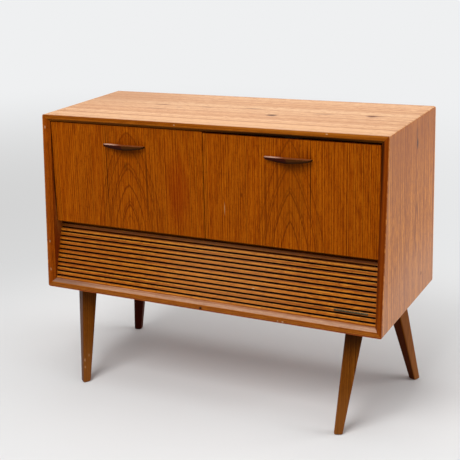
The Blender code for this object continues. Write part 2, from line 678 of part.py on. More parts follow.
# Drop flaps with handles, hinges and quadrant stays
for side, label, flap_length, side_gap in ((-1, "left", FLAP_LENGTH_LEFT, FLAP_SIDE_GAP_LEFT),
                                           (1, "right", FLAP_LENGTH_RIGHT, FLAP_SIDE_GAP_RIGHT)):
    axis_point = (side * FLAP_MID_X, AXIS_Y, AXIS_Z)
    outer_x = WALL_X - side_gap
    low_x = min(side * FLAP_INNER_X, side * outer_x)
    high_x = max(side * FLAP_INNER_X, side * outer_x)
    door = prism([(0.0, FLAP_HINGE_CHAMFER), (FLAP_HINGE_CHAMFER, 0.0), (FLAP_T, 0.0),
                  (FLAP_T, flap_length), (0.0, flap_length)], low_x, high_x, Matrix.Identity(4))
    ease(door, FLAP_EDGE_R, lambda e: all(v.co.x > FLAP_T - 1e-6 for v in e.verts))
    door.transform(FLAP_FRAME)
    add(label + "_flap", door, veneer, axis_point)

    # Handle: flat top, two facets meeting on a ridge, hollowed towards both ends
    seat = FLAP_T + FIT_GAP
    rings = []
    for step in range(-8, 9):
        share = step / 8
        reach = HANDLE_END_REACH + (HANDLE_MID_REACH - HANDLE_END_REACH) * (1 - abs(share))
        deep = HANDLE_END_T + (HANDLE_MID_T - HANDLE_END_T) * (1 - share * share)
        lip = min(0.0015, deep / 3)
        x = side * FLAP_MID_X + share * HANDLE_LENGTH / 2
        rings.append([FLAP_FRAME @ Vector(p) for p in (
            (seat, HANDLE_TOP, x), (seat + reach - lip / 2, HANDLE_TOP, x),
            (seat + reach, HANDLE_TOP - lip / 2, x), (seat + reach, HANDLE_TOP - deep + lip, x),
            (seat + reach - lip, HANDLE_TOP - deep, x),
            (seat + reach * 0.45, HANDLE_TOP - deep * 0.72, x), (seat, HANDLE_TOP - deep * 0.95, x))])
    add(label + "_handle", loft(rings), dark_wood, axis_point)

    # Hinge: the fixed leaf lies on the rail and carries the pin, the moving leaf lies on the flap
    half = HINGE_LENGTH / 2
    mid = half * HINGE_MID_SHARE
    centre = side * FLAP_MID_X
    inner_end = mid + HINGE_END_GAP
    root = HINGE_KNUCKLE_R + HINGE_END_GAP
    leaf_back = SHELF_FRONT_Y + HINGE_LEAF_WIDTH - AXIS_Y
    pin_frame = Matrix.Translation((0.0, AXIS_Y, AXIS_Z)) @ ALONG_X
    barrel = knuckle_arc(-math.asin(HINGE_LEAF_T / HINGE_KNUCKLE_R), -2 * math.pi)
    plate = [(root, 0.0), (leaf_back, 0.0), (leaf_back, -HINGE_LEAF_T), (root, -HINGE_LEAF_T)]
    fixed = stepped(barrel, plate, (centre - half, centre - inner_end, centre + inner_end, centre + half),
                    (True, False, True), pin_frame, circle(0.0, 0.0, HINGE_PIN_R, 12))
    add(label + "_hinge_fixed_leaf", fixed, brass, axis_point)
    leaf_in = -FIT_GAP - HINGE_LEAF_T
    outline = knuckle_arc(math.acos(leaf_in / HINGE_KNUCKLE_R),
                          2 * math.pi + math.acos(-FIT_GAP / HINGE_KNUCKLE_R))
    outline += [(-FIT_GAP, HINGE_LEAF_WIDTH), (leaf_in, HINGE_LEAF_WIDTH)]
    moving = prism(outline, centre - mid, centre + mid, FLAP_FRAME, [circle(0.0, 0.0, HINGE_BORE_R, 12)])
    add(label + "_hinge_moving_leaf", moving, brass, axis_point)

    # Stay: an arc about the hinge axis that runs through a guide on the side wall
    arm_far = WALL_X - STAY_WALL_CLEAR
    arm_near = arm_far - STAY_T
    face_turn = math.pi / 2 - LEAN
    root_turn = face_turn - (FIT_GAP + STAY_FOOT_T) / STAY_RADIUS
    guide_gap = 2 * STAY_FOOT_T + FIT_GAP
    guide_turn = face_turn - (guide_gap + STAY_GUIDE_LENGTH / 2) / STAY_RADIUS
    guide_half = STAY_GUIDE_LENGTH / 2 / STAY_RADIUS
    head_turn = guide_turn - guide_half - math.radians(FLAP_OPEN_DEG) - STAY_STOP_CLEAR / STAY_RADIUS
    tail_turn = head_turn - STAY_HEAD_LENGTH / STAY_RADIUS

    def sector(inner, outer, first, last, steps):
        """Ring sector about the hinge axis, in depth and height."""
        turns = [first + (last - first) * i / steps for i in range(steps + 1)]
        rim = [(AXIS_Y + outer * math.cos(t), AXIS_Z + outer * math.sin(t)) for t in turns]
        bore_edge = [(AXIS_Y + inner * math.cos(t), AXIS_Z + inner * math.sin(t)) for t in reversed(turns)]
        return rim + bore_edge

    inner_r = STAY_RADIUS - STAY_WIDTH / 2
    outer_r = STAY_RADIUS + STAY_WIDTH / 2
    head_part = sector(inner_r - STAY_HEAD_EXTRA, outer_r + STAY_HEAD_EXTRA, tail_turn, head_turn, 2)
    arm_part = sector(inner_r, outer_r, head_turn, root_turn, 24)
    rim = len(arm_part) // 2
    # from the bore side of the root, round the head, to the rim side of the root
    arc = arm_part[rim + 1:] + head_part[3:] + head_part[:3] + arm_part[:rim - 1]
    foot_part = [FLAP_FRAME @ Vector((n, u, 0.0)) for n, u in (
        (-FIT_GAP - STAY_FOOT_T, outer_r), (-FIT_GAP - STAY_FOOT_T, STAY_RADIUS + STAY_FOOT / 2),
        (-FIT_GAP, STAY_RADIUS + STAY_FOOT / 2), (-FIT_GAP, STAY_RADIUS - STAY_FOOT / 2),
        (-FIT_GAP - STAY_FOOT_T, STAY_RADIUS - STAY_FOOT / 2), (-FIT_GAP - STAY_FOOT_T, inner_r))]
    arm = stepped(arc, [(q.y, q.z) for q in foot_part],
                  (side * (arm_near - STAY_FOOT), side * arm_near, side * arm_far), (False, True), ALONG_X)
    add(label + "_stay_arm", arm, brass, axis_point)
    guide_reach = STAY_WIDTH / 2 + STAY_HEAD_EXTRA + STAY_GUIDE_SIDE
    slot_reach = STAY_WIDTH / 2 + STAY_GUIDE_CLEAR
    radial = Vector((0.0, math.cos(guide_turn), math.sin(guide_turn)))
    guide_frame = frame_of(Vector((0.0, AXIS_Y, AXIS_Z)) + radial * STAY_RADIUS, radial, (side, 0, 0),
                           (0.0, -radial.z, radial.y))
    block = prism(rect(-guide_reach, guide_reach, arm_near - STAY_GUIDE_SIDE, WALL_X - FIT_GAP),
                  -STAY_GUIDE_LENGTH / 2, STAY_GUIDE_LENGTH / 2, guide_frame,
                  [rect(-slot_reach, slot_reach, arm_near - STAY_GUIDE_CLEAR, arm_far + STAY_GUIDE_CLEAR)])
    add(label + "_stay_guide", block, brass)

# Legs
for label, x, y, turn_deg in (("front_left", -LEG_X, LEG_FRONT_Y, LEG_TURN_FRONT_LEFT),
                              ("front_right", LEG_X, LEG_FRONT_Y, LEG_TURN_FRONT_RIGHT),
                              ("back_right", LEG_X, LEG_BACK_Y, LEG_TURN_BACK_RIGHT),
                              ("back_left", -LEG_X, LEG_BACK_Y, LEG_TURN_BACK_LEFT)):
    turn = math.radians(turn_deg)
    out = Vector((math.sin(turn), -math.cos(turn), 0.0))
    cross = Vector((math.cos(turn), math.sin(turn), 0.0))
    rings = []
    levels = ((0.0, 0.0), (1.0 - LEG_FOOT_EASE / LEG_HEIGHT, 0.0), (1.0, LEG_FOOT_EASE))
    for share, shrink in levels:
        width = LEG_TOP_W + (LEG_FOOT_W - LEG_TOP_W) * share - 2 * shrink
        soft = LEG_TOP_ROUND + (LEG_FOOT_ROUND - LEG_TOP_ROUND) * share
        height = -FIT_GAP - (LEG_HEIGHT - FIT_GAP) * share
        middle = Vector((x, y, height)) + out * (LEG_SPLAY * share)
        ring = []
        for px, py in round_rect(-width / 2, width / 2, -width / 2, width / 2, soft, 3):
            along = (px + py) / math.sqrt(2)
            across = (py - px) / math.sqrt(2)
            ring.append(middle + out * along + cross * across)
        rings.append(ring)
    add("leg_" + label, loft(rings), dark_wood)

# Record deck in the left compartment
plinth = prism(round_rect(PLINTH_LEFT, PLINTH_RIGHT, PLINTH_FRONT, PLINTH_BACK, PLINTH_CORNER_R),
               SHELF_TOP + FIT_GAP, PLINTH_TOP, Matrix.Identity(4))
hollow = prism(rect(PLINTH_LEFT + PLINTH_T, PLINTH_RIGHT - PLINTH_T, PLINTH_FRONT + PLINTH_T,
                    PLINTH_BACK - PLINTH_T), SHELF_TOP - PLINTH_T, PLINTH_TOP - PLINTH_T, Matrix.Identity(4))
add("deck_plinth", combine(plinth, hollow, "DIFFERENCE"), grey_paint)

platter_frame = Matrix.Translation((PLATTER_X, PLATTER_Y, 0.0))
platter_low = PLINTH_TOP + PLATTER_LIFT
platter = revolve([(0.0, PLINTH_TOP + FIT_GAP), (PLATTER_HUB_R, PLINTH_TOP + FIT_GAP),
                   (PLATTER_HUB_R, platter_low),
                   (PLATTER_R - PLATTER_RIM, platter_low), (PLATTER_R, platter_low + PLATTER_RIM),
                   (PLATTER_R, PLATTER_TOP - PLATTER_RIM / 2), (PLATTER_R - PLATTER_RIM / 2, PLATTER_TOP),
                   (SPINDLE_R, PLATTER_TOP), (SPINDLE_R, PLATTER_TOP + SPINDLE_RISE - SPINDLE_R),
                   (0.0, PLATTER_TOP + SPINDLE_RISE)], 64, platter_frame)
add("platter", platter, steel, (PLATTER_X, PLATTER_Y, PLATTER_TOP))
mat_r = PLATTER_R - MAT_MARGIN
mat = revolve([(SPINDLE_R + 0.0006, PLATTER_TOP + FIT_GAP), (mat_r, PLATTER_TOP + FIT_GAP),
               (mat_r, MAT_TOP - 0.001), (mat_r - 0.001, MAT_TOP), (SPINDLE_R + 0.0006, MAT_TOP)],
              64, platter_frame, closed=True)
add("platter_mat", mat, rubber, (PLATTER_X, PLATTER_Y, MAT_TOP))

pillar_frame = Matrix.Translation((ARM_X, ARM_Y, 0.0))
cheek_low = ARM_AXIS_Z - ARM_BLOCK_HALF - ARM_TILT_ROOM
cheek_in = ARM_BLOCK_HALF + ARM_CLEAR
cheek_out = cheek_in + ARM_CHEEK_T
pillar = revolve([(0.0, PLINTH_TOP + FIT_GAP), (ARM_PILLAR_R + 0.006, PLINTH_TOP + FIT_GAP),
                  (ARM_PILLAR_R + 0.006, PLINTH_TOP + 0.006), (ARM_PILLAR_R, PLINTH_TOP + 0.008),
                  (ARM_PILLAR_R, cheek_low), (0.0, cheek_low)], 32, pillar_frame)
for end in (-1, 1):
    x0 = ARM_X + end * cheek_in
    x1 = ARM_X + end * cheek_out
    cheek = box(min(x0, x1), max(x0, x1), ARM_Y - ARM_CHEEK_HALF, ARM_Y + ARM_CHEEK_HALF,
                cheek_low - ARM_CHEEK_T, ARM_AXIS_Z + ARM_CHEEK_HALF)
    pillar = combine(pillar, cheek, "UNION")
add("arm_pillar", pillar, steel, (ARM_X, ARM_Y, ARM_AXIS_Z))

arm_axis = frame_of((ARM_X, ARM_Y, ARM_AXIS_Z), (1, 0, 0), (0, 0, 1), (0, -1, 0))
tube = revolve([(0.0, -ARM_TAIL), (ARM_TUBE_R, -ARM_TAIL), (ARM_TUBE_R, ARM_LENGTH - SHELL_LENGTH / 2),
                (0.0, ARM_LENGTH - SHELL_LENGTH / 2)], 16, arm_axis)
block = box(ARM_X - ARM_BLOCK_HALF, ARM_X + ARM_BLOCK_HALF, ARM_Y - ARM_BLOCK_HALF, ARM_Y + ARM_BLOCK_HALF,
            ARM_AXIS_Z - ARM_BLOCK_HALF, ARM_AXIS_Z + ARM_BLOCK_HALF)
tube = combine(tube, block, "UNION")
weight_end = -ARM_TAIL - ARM_TUBE_R
weight_start = weight_end + ARM_WEIGHT_LENGTH
weight = revolve([(0.0, weight_end), (ARM_WEIGHT_R, weight_end), (ARM_WEIGHT_R, weight_start),
                  (0.0, weight_start)], 24, arm_axis)
tube = combine(tube, weight, "UNION")
shell_front = ARM_Y - ARM_LENGTH - SHELL_LENGTH * 0.2
shell_low = -SHELL_HEIGHT * 0.6
shell_high = SHELL_HEIGHT * 0.5
rings = []
for wide, along in ((0.32, 1.0), (0.5, 0.7), (0.5, 0.0)):
    half = wide * SHELL_WIDTH
    y = shell_front + along * SHELL_LENGTH
    rings.append([Vector((ARM_X + sx * half, y, ARM_AXIS_Z + dz)) for sx, dz in (
        (-1, shell_low), (1, shell_low), (0.7, shell_high), (-0.7, shell_high))])
shell = loft(rings)
tube = combine(tube, shell, "UNION")
stylus_low = MAT_TOP + STYLUS_CLEAR
stylus = box(ARM_X - 0.003, ARM_X + 0.003, ARM_Y - ARM_LENGTH - 0.004, ARM_Y - ARM_LENGTH + 0.008,
             stylus_low, ARM_AXIS_Z)
tube = combine(tube, stylus, "UNION")
add("pickup_arm", tube, ivory_plastic, (ARM_X, ARM_Y, ARM_AXIS_Z))

rest_y = ARM_Y - REST_REACH
rest_seat = ARM_AXIS_Z - ARM_TUBE_R - FIT_GAP
rest = revolve([(0.0, PLINTH_TOP + FIT_GAP), (REST_POST_R * 2, PLINTH_TOP + FIT_GAP),
                (REST_POST_R * 2, PLINTH_TOP + 0.003), (REST_POST_R, PLINTH_TOP + 0.004),
                (REST_POST_R, rest_seat - 0.004), (0.0, rest_seat - 0.004)], 20,
               Matrix.Translation((ARM_X, rest_y, 0.0)))
saddle_low = rest_seat - REST_CLIP_T * 2
saddle = prism([(REST_CLIP_HALF, saddle_low), (-REST_CLIP_HALF, saddle_low), (-REST_CLIP_HALF, rest_seat),
                (REST_CLIP_HALF - REST_CLIP_T, rest_seat),
                (REST_CLIP_HALF - REST_CLIP_T, rest_seat + REST_CLIP_RISE),
                (REST_CLIP_HALF, rest_seat + REST_CLIP_RISE)],
               -REST_CLIP_T, REST_CLIP_T, Matrix.Translation((ARM_X, rest_y, 0.0)) @ ALONG_Y)
add("arm_rest", combine(rest, saddle, "UNION"), black_plastic)

speed = revolve([(0.0, PLINTH_TOP + FIT_GAP), (SPEED_KNOB_R, PLINTH_TOP + FIT_GAP),
                 (SPEED_KNOB_R, PLINTH_TOP + 0.006), (SPEED_KNOB_R * 0.7, PLINTH_TOP + 0.007),
                 (SPEED_KNOB_R * 0.62, PLINTH_TOP + SPEED_KNOB_HEIGHT - 0.001),
                 (SPEED_KNOB_R * 0.55, PLINTH_TOP + SPEED_KNOB_HEIGHT),
                 (0.0, PLINTH_TOP + SPEED_KNOB_HEIGHT)],
                32, Matrix.Translation((SPEED_KNOB_X, SPEED_KNOB_Y, 0.0)))
add("speed_knob", speed, ivory_plastic, (SPEED_KNOB_X, SPEED_KNOB_Y, PLINTH_TOP))

# Radio receiver in the right compartment
knob_places = (("volume_knob", FASCIA_LEFT + KNOB_INSET), ("tuning_knob", FASCIA_RIGHT - KNOB_INSET))
button_places = [FASCIA_MID + (i - 1) * BUTTON_PITCH for i in range(3)]
bore_r = KNOB_SHAFT_R + KNOB_BORE_CLEAR
holes = [rect(DIAL_LEFT, DIAL_RIGHT, DIAL_BOTTOM, DIAL_TOP)]
holes += [circle(x, CONTROL_Z, bore_r, 16) for _, x in knob_places]
holes += [rect(x - BUTTON_WIDTH / 2 - BUTTON_CLEAR, x + BUTTON_WIDTH / 2 + BUTTON_CLEAR,
               CONTROL_Z - BUTTON_HEIGHT / 2 - BUTTON_CLEAR, CONTROL_Z + BUTTON_HEIGHT / 2 + BUTTON_CLEAR)
          for x in button_places]
fascia = prism(rect(FASCIA_LEFT, FASCIA_RIGHT, SHELF_TOP + FIT_GAP, CEILING - FIT_GAP), FASCIA_FRONT_Y,
               FASCIA_BACK_Y, ALONG_Y, holes)
add("receiver_fascia", fascia, dark_wood)
glass_front = FASCIA_FRONT_Y + DIAL_GLASS_INSET
add("dial_glass", box(DIAL_LEFT + FIT_GAP, DIAL_RIGHT - FIT_GAP, glass_front, glass_front + DIAL_GLASS_T,
                      DIAL_BOTTOM + FIT_GAP, DIAL_TOP - FIT_GAP), glass)
pointer_front = FASCIA_BACK_Y - POINTER_T
pointer_x = DIAL_LEFT + POINTER_END
add("dial_pointer", box(pointer_x - POINTER_WIDTH / 2, pointer_x + POINTER_WIDTH / 2, pointer_front,
                        pointer_front + POINTER_T, DIAL_BOTTOM + POINTER_MARGIN, DIAL_TOP - POINTER_MARGIN),
    red_paint, (pointer_x, pointer_front, (DIAL_BOTTOM + DIAL_TOP) / 2))

facing = frame_of((0, 0, 0), (1, 0, 0), (0, 0, 1), (0, -1, 0))
for label, x in knob_places:
    frame = Matrix.Translation((x, FASCIA_FRONT_Y, CONTROL_Z)) @ facing
    knob = revolve([(0.0, -FASCIA_T + 0.001), (KNOB_SHAFT_R, -FASCIA_T + 0.001), (KNOB_SHAFT_R, FIT_GAP * 2),
                    (KNOB_R, FIT_GAP * 2), (KNOB_R, 0.003), (KNOB_R * 0.84, 0.005),
                    (KNOB_R * 0.78, KNOB_LENGTH - 0.002), (KNOB_R * 0.72, KNOB_LENGTH), (0.0, KNOB_LENGTH)],
                   40, frame)
    add(label, knob, ivory_plastic, (x, FASCIA_FRONT_Y, CONTROL_Z))
for index, x in enumerate(button_places):
    back_y = FASCIA_BACK_Y - BUTTON_TRAVEL - 0.001
    button = box(x - BUTTON_WIDTH / 2, x + BUTTON_WIDTH / 2, FASCIA_FRONT_Y - BUTTON_PROUD, back_y,
                 CONTROL_Z - BUTTON_HEIGHT / 2, CONTROL_Z + BUTTON_HEIGHT / 2)
    front_edge = FASCIA_FRONT_Y - BUTTON_PROUD + 1e-6
    ease(button, 0.0015, lambda e: all(v.co.y < front_edge for v in e.verts))
    add("push_button_%d" % (index + 1), button, ivory_plastic, (x, FASCIA_FRONT_Y, CONTROL_Z))

chassis_front = FASCIA_BACK_Y + FIT_GAP
chassis = box(FASCIA_LEFT + CHASSIS_MARGIN, FASCIA_RIGHT - CHASSIS_MARGIN, chassis_front,
              chassis_front + CHASSIS_DEPTH, SHELF_TOP + CHASSIS_FOOT, CEILING - CHASSIS_MARGIN)
inside = box(FASCIA_LEFT + CHASSIS_MARGIN + CHASSIS_T, FASCIA_RIGHT - CHASSIS_MARGIN - CHASSIS_T,
             chassis_front + CHASSIS_T, chassis_front + CHASSIS_DEPTH + CHASSIS_T,
             SHELF_TOP + CHASSIS_FOOT + CHASSIS_T, CEILING - CHASSIS_MARGIN - CHASSIS_T)
add("receiver_chassis", combine(chassis, inside, "DIFFERENCE"), grey_paint)

# Centre the part on its box and stand it on the floor
corners = [obj.location + v.co for obj in pieces for v in obj.data.vertices]
low = Vector(min(c[i] for c in corners) for i in range(3))
high = Vector(max(c[i] for c in corners) for i in range(3))
shift = Vector((-(low.x + high.x) / 2, -(low.y + high.y) / 2, -low.z))
for obj in pieces:
    obj.location += shift
print("pieces", len(pieces))
print("size", tuple(round(v, 4) for v in (high - low)), "shift", tuple(round(v, 5) for v in shift))
print("hinge axis", round(AXIS_Y + shift.y, 5), round(AXIS_Z + shift.z, 5))
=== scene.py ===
# %% [markdown]
# # A teak radiogram on splayed legs
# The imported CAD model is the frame: every board, flap, knob and hinge already
# stands in the right place, in metres, with the front towards -Y. This lesson
# gives those pieces their finishes, adds the small things that a cabinet maker
# fits last, and sets up the studio and the camera.

# %% Load the frame
import math
import random

import bmesh
import bpy
from mathutils import Matrix, Vector


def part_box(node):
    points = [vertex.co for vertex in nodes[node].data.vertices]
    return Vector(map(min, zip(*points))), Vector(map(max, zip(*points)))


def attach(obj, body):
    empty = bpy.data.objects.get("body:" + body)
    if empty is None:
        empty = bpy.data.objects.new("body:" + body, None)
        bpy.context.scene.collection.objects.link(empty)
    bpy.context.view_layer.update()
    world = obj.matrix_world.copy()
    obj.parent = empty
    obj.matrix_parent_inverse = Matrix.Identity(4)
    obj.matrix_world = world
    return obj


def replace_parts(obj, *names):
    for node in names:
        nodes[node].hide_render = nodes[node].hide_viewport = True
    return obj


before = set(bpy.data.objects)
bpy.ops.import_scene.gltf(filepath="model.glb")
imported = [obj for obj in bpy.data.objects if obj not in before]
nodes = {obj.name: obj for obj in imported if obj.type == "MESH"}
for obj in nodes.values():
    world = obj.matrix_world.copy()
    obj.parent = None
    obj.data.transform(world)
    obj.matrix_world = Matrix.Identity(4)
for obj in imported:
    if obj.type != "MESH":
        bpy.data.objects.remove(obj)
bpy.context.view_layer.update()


# %% [markdown]
# ## Helpers for materials
# Colours are written as the sRGB hex values that a colour picker shows. Cycles
# works in linear light, so one function converts them. A second one adds a
# shader node, sets its properties and fills its inputs, either with a value or
# with a link from another node. Two short ones give the scale of a texture from
# a size in millimetres, and an empty material to start from.

# %% Colour and node helpers
def linear(code):
    """Linear RGBA from an sRGB hex code."""
    channels = [int(code[i:i + 2], 16) / 255 for i in (1, 3, 5)]
    return tuple(c / 12.92 if c <= 0.04045 else ((c + 0.055) / 1.055) ** 2.4 for c in channels) + (1.0,)


def add_node(tree, kind, inputs=None, stops=(), **settings):
    """Add one node and give back its outputs. inputs maps a socket to a value or to the output that feeds it;
    stops are the (position, colour) pairs of a colour ramp."""
    made = tree.nodes.new("ShaderNode" + kind)
    for key, value in settings.items():
        setattr(made, key, value)
    for key, value in (inputs or {}).items():
        if isinstance(value, bpy.types.NodeSocket):
            tree.links.new(value, made.inputs[key])
        else:
            made.inputs[key].default_value = value
    if stops:
        ramp = made.color_ramp
        while len(ramp.elements) < len(stops):
            ramp.elements.new(1.0)
        for element, (position, code) in zip(ramp.elements, stops):
            element.position = position
            element.color = linear(code)
    return made.outputs


def per_mm(size):
    """Texture scale that gives features of this size in millimetres."""
    return 1000.0 / size


def new_material(name):
    """Empty node material and its tree, ready for a shader."""
    mat = bpy.data.materials.new(name)
    mat.use_nodes = True
    mat.node_tree.nodes.clear()
    return mat, mat.node_tree


print("helpers ready")

# %% [markdown]
# ## The camera
# The photograph was taken from the right and a little above, with a short
# telephoto lens and the camera held slightly off level. The numbers come from
# matching the straight edges of the cabinet, so the render lies over the photo.

# %% Camera
IMAGE_SIZE = 460            # pixels, square
FOCAL_PIXELS = 975.7
SENSOR_MM = 36.0
CAMERA_PLACE = (1.14820, -2.14917, 1.21408)
CAMERA_AZIMUTH = math.radians(28.3413)
CAMERA_ELEVATION = math.radians(18.0081)
CAMERA_ROLL = math.radians(-2.7322)

lens = bpy.data.cameras.new("photo_camera")
lens.sensor_fit = "HORIZONTAL"
lens.sensor_width = SENSOR_MM
lens.lens = FOCAL_PIXELS / IMAGE_SIZE * SENSOR_MM
lens.clip_end = 200.0
camera = bpy.data.objects.new("photo_camera", lens)
bpy.context.scene.collection.objects.link(camera)
back = Vector((math.sin(CAMERA_AZIMUTH) * math.cos(CAMERA_ELEVATION),
               -math.cos(CAMERA_AZIMUTH) * math.cos(CAMERA_ELEVATION), math.sin(CAMERA_ELEVATION)))
level = Vector((math.cos(CAMERA_AZIMUTH), math.sin(CAMERA_AZIMUTH), 0.0))
upright = back.cross(level)
right = level * math.cos(CAMERA_ROLL) + upright * math.sin(CAMERA_ROLL)
up = upright * math.cos(CAMERA_ROLL) - level * math.sin(CAMERA_ROLL)
camera.matrix_world = Matrix.Translation(CAMERA_PLACE) @ Matrix((right, up, back)).transposed().to_4x4()
bpy.context.scene.camera = camera
print("camera: lens %.1f mm" % lens.lens)

# %% [markdown]
# ## The studio
# A pale sheet of paper runs far enough back to be the backdrop too. Close to the cabinet it is a matt surface
# that takes the soft shadow; further out it fades into an even tone, with painted shade a little darker to
# the left, so no horizon line shows.
# The fade is in the material, by the distance from the middle, because a curved
# backdrop would show its bend from other sides.

# %% Floor
FLOOR_RADIUS = 60.0
FADE_START = 0.45
FADE_END = 1.35
FLOOR_NEAR = "#dadada"
FLOOR_PATCH = "#d7d7d7"
BACKDROP = "#eff0f1"
BACKDROP_PAINTED_SHADE = "#d4d4d4"
PAINTED_SHADE_PLACE = (-1.9, 1.0, 0.0)   # where the painted shade on the backdrop is darkest
PAINTED_SHADE_REACH = 3.4

bpy.context.scene.view_settings.view_transform = "Standard"


def seen_directly(tree):
    """1 for rays from the camera, from gloss and through glass, 0 for light that only bounces."""
    path = add_node(tree, "LightPath")
    seen = path["Is Camera Ray"]
    for ray in ("Is Glossy Ray", "Is Transmission Ray"):
        seen = add_node(tree, "Math", {0: seen, 1: path[ray]}, operation="MAXIMUM")[0]
    return seen


# uncoated paper: no gloss at all, and a tone that drifts slowly across the sheet
paper, tree = new_material("pale_studio_paper")
spot = add_node(tree, "TexCoord")["Object"]
reach = add_node(tree, "VectorMath", {0: spot}, operation="LENGTH")["Value"]
patchy = add_node(tree, "TexNoise", {"Vector": spot, "Scale": per_mm(900), "Detail": 2.0})
tint = add_node(tree, "ValToRGB", {"Fac": patchy["Fac"]}, stops=((0.3, FLOOR_PATCH), (0.7, FLOOR_NEAR)))
matt = add_node(tree, "BsdfDiffuse", {"Color": tint["Color"], "Roughness": 0.5})
# painted shade: the far backdrop darkens towards the left
apart = add_node(tree, "VectorMath", {0: spot, 1: PAINTED_SHADE_PLACE}, operation="DISTANCE")["Value"]
apart = add_node(tree, "MapRange", {"Value": apart, "From Max": PAINTED_SHADE_REACH}, interpolation_type="SMOOTHSTEP")
tone = add_node(tree, "ValToRGB", {"Fac": apart["Result"]}, stops=((0.0, BACKDROP_PAINTED_SHADE), (1.0, BACKDROP)))
glow = add_node(tree, "Emission", {"Color": tone["Color"]})
far = add_node(tree, "MapRange", {"Value": reach, "From Min": FADE_START, "From Max": FADE_END},
               interpolation_type="SMOOTHSTEP")
share = add_node(tree, "Math", {0: seen_directly(tree), 1: far["Result"]}, operation="MULTIPLY")
mixed = add_node(tree, "MixShader", {0: share[0], 1: matt[0], 2: glow[0]})
add_node(tree, "OutputMaterial", {"Surface": mixed[0]})

bm = bmesh.new()
bmesh.ops.create_circle(bm, cap_ends=True, cap_tris=False, segments=96, radius=FLOOR_RADIUS)
mesh = bpy.data.meshes.new("studio_floor")
bm.to_mesh(mesh)
bm.free()
floor = bpy.data.objects.new("studio_floor", mesh)
mesh.materials.append(paper)
bpy.context.scene.collection.objects.link(floor)
print("floor radius %.0f m" % FLOOR_RADIUS)

# %% [markdown]
# The world gives a weak, even light from all round. To the camera, and in gloss
# and glass, it shows the tone of the backdrop instead, so that brass has
# something pale to mirror.

# %% World
FILL_LIGHT = 0.36
world = bpy.data.worlds.new("soft_studio")
world.use_nodes = True
bpy.context.scene.world = world
tree = world.node_tree
tree.nodes.clear()
fill = add_node(tree, "Background", {"Color": linear("#ffffff"), "Strength": FILL_LIGHT})
pale = add_node(tree, "Background", {"Color": linear(BACKDROP), "Strength": 1.0})
mixed = add_node(tree, "MixShader", {0: seen_directly(tree), 1: fill[0], 2: pale[0]})
add_node(tree, "OutputWorld", {"Surface": mixed[0]})
print("fill %.2f" % FILL_LIGHT)

# %% [markdown]
# A large softbox hangs overhead, and a stronger one high in front lights the
# flaps. One to the right lights the end of the case, and a weak one behind
# keeps the back from going dark. Large lamps give the soft edges that the
# shadow under the cabinet has.


# %% Softboxes
def softbox(name, place, target, size, watts):
    """Rectangular area lamp that faces a point."""
    lamp = bpy.data.lights.new(name, "AREA")
    lamp.shape = "RECTANGLE"
    lamp.size, lamp.size_y = size
    lamp.energy = watts
    holder = bpy.data.objects.new(name, lamp)
    holder.location = place
    holder.rotation_euler = (Vector(target) - Vector(place)).to_track_quat("-Z", "Y").to_euler()
    bpy.context.scene.collection.objects.link(holder)
    return holder


SOFTBOXES = (               # name, place, the point it faces, size, watts
    ("overhead_softbox", (0.1, 0.1, 3.2), (0.0, 0.0, 0.5), (2.8, 2.2), 48.0),
    ("front_softbox", (-0.3, -2.3, 3.2), (0.0, 0.0, 0.5), (2.0, 1.6), 78.0),
    ("right_softbox", (2.9, 1.1, 1.3), (0.4, 0.1, 0.4), (2.0, 1.8), 52.0),
    ("back_softbox", (-1.6, 3.4, 2.0), (0.0, 0.0, 0.7), (2.6, 1.6), 13.0))
for row in SOFTBOXES:
    softbox(*row)
print(len(SOFTBOXES), "softboxes")

# %% [markdown]
# ## Teak
# Teak veneer is sliced from a log, so its pattern is the growth rings as the
# knife met them. A cut far from the heart shows near-parallel stripes. A cut
# close to the heart shows nested arches, the cathedral figure on both flaps.
# Both come from one idea: measure how far each point lay from the heart of the
# log, and colour by that distance. The heart runs at a slight angle to the
# sheet, and that slope is what closes the stripes into arches. The boldest
# arches are set one by one, as dark lines at given distances from the heart.
# Fibres, pores and slow changes of tone lie on top, all stretched along the grain. Knots, streaks and worn
# spots are marks at given places, and so are painted shade and painted light. A tint goes by the way that a
# face looks; most tints paint light or shade on the faces that look one way.

# %% Teak veneer
FIBRE_STRETCH = 0.05        # fibres are drawn this much finer across the grain than along it
PORE_STRETCH = 0.25         # pores are short dashes, 0.3 mm wide, and each finish draws them wider, to show
SHEET_STRETCH = 0.01        # through a sheet of veneer the pattern hardly changes
STRAND_MM = 1.5             # fibres are far finer, and this is as fine as they can be and show
BROAD_RING_MM = 26.0
WANDER_MM = 60.0
CLOUD_MM = 170.0
LATE_WOOD_MM = 2.2          # half the width of the dark line that ends a year's growth
FEATHER_MM = 5.0            # the fibres shift that line by up to this much
PORE_START, PORE_FULL = 0.54, 0.72
CLOUD_DRIFT, GLOSS_DRIFT = 0.06, 0.07
NOISE_LOW, NOISE_HIGH = 0.3, 0.7            # a noise texture seldom leaves this range
MARK_CORE = 0.2             # share of a mark's radius that has its full strength
GRAIN_BUMP, GRAIN_DEPTH = 0.12, 0.0004
SHARE, BELOW, ABOVE, MIXED = 0, 6, 7, 2     # sockets of a colour Mix node


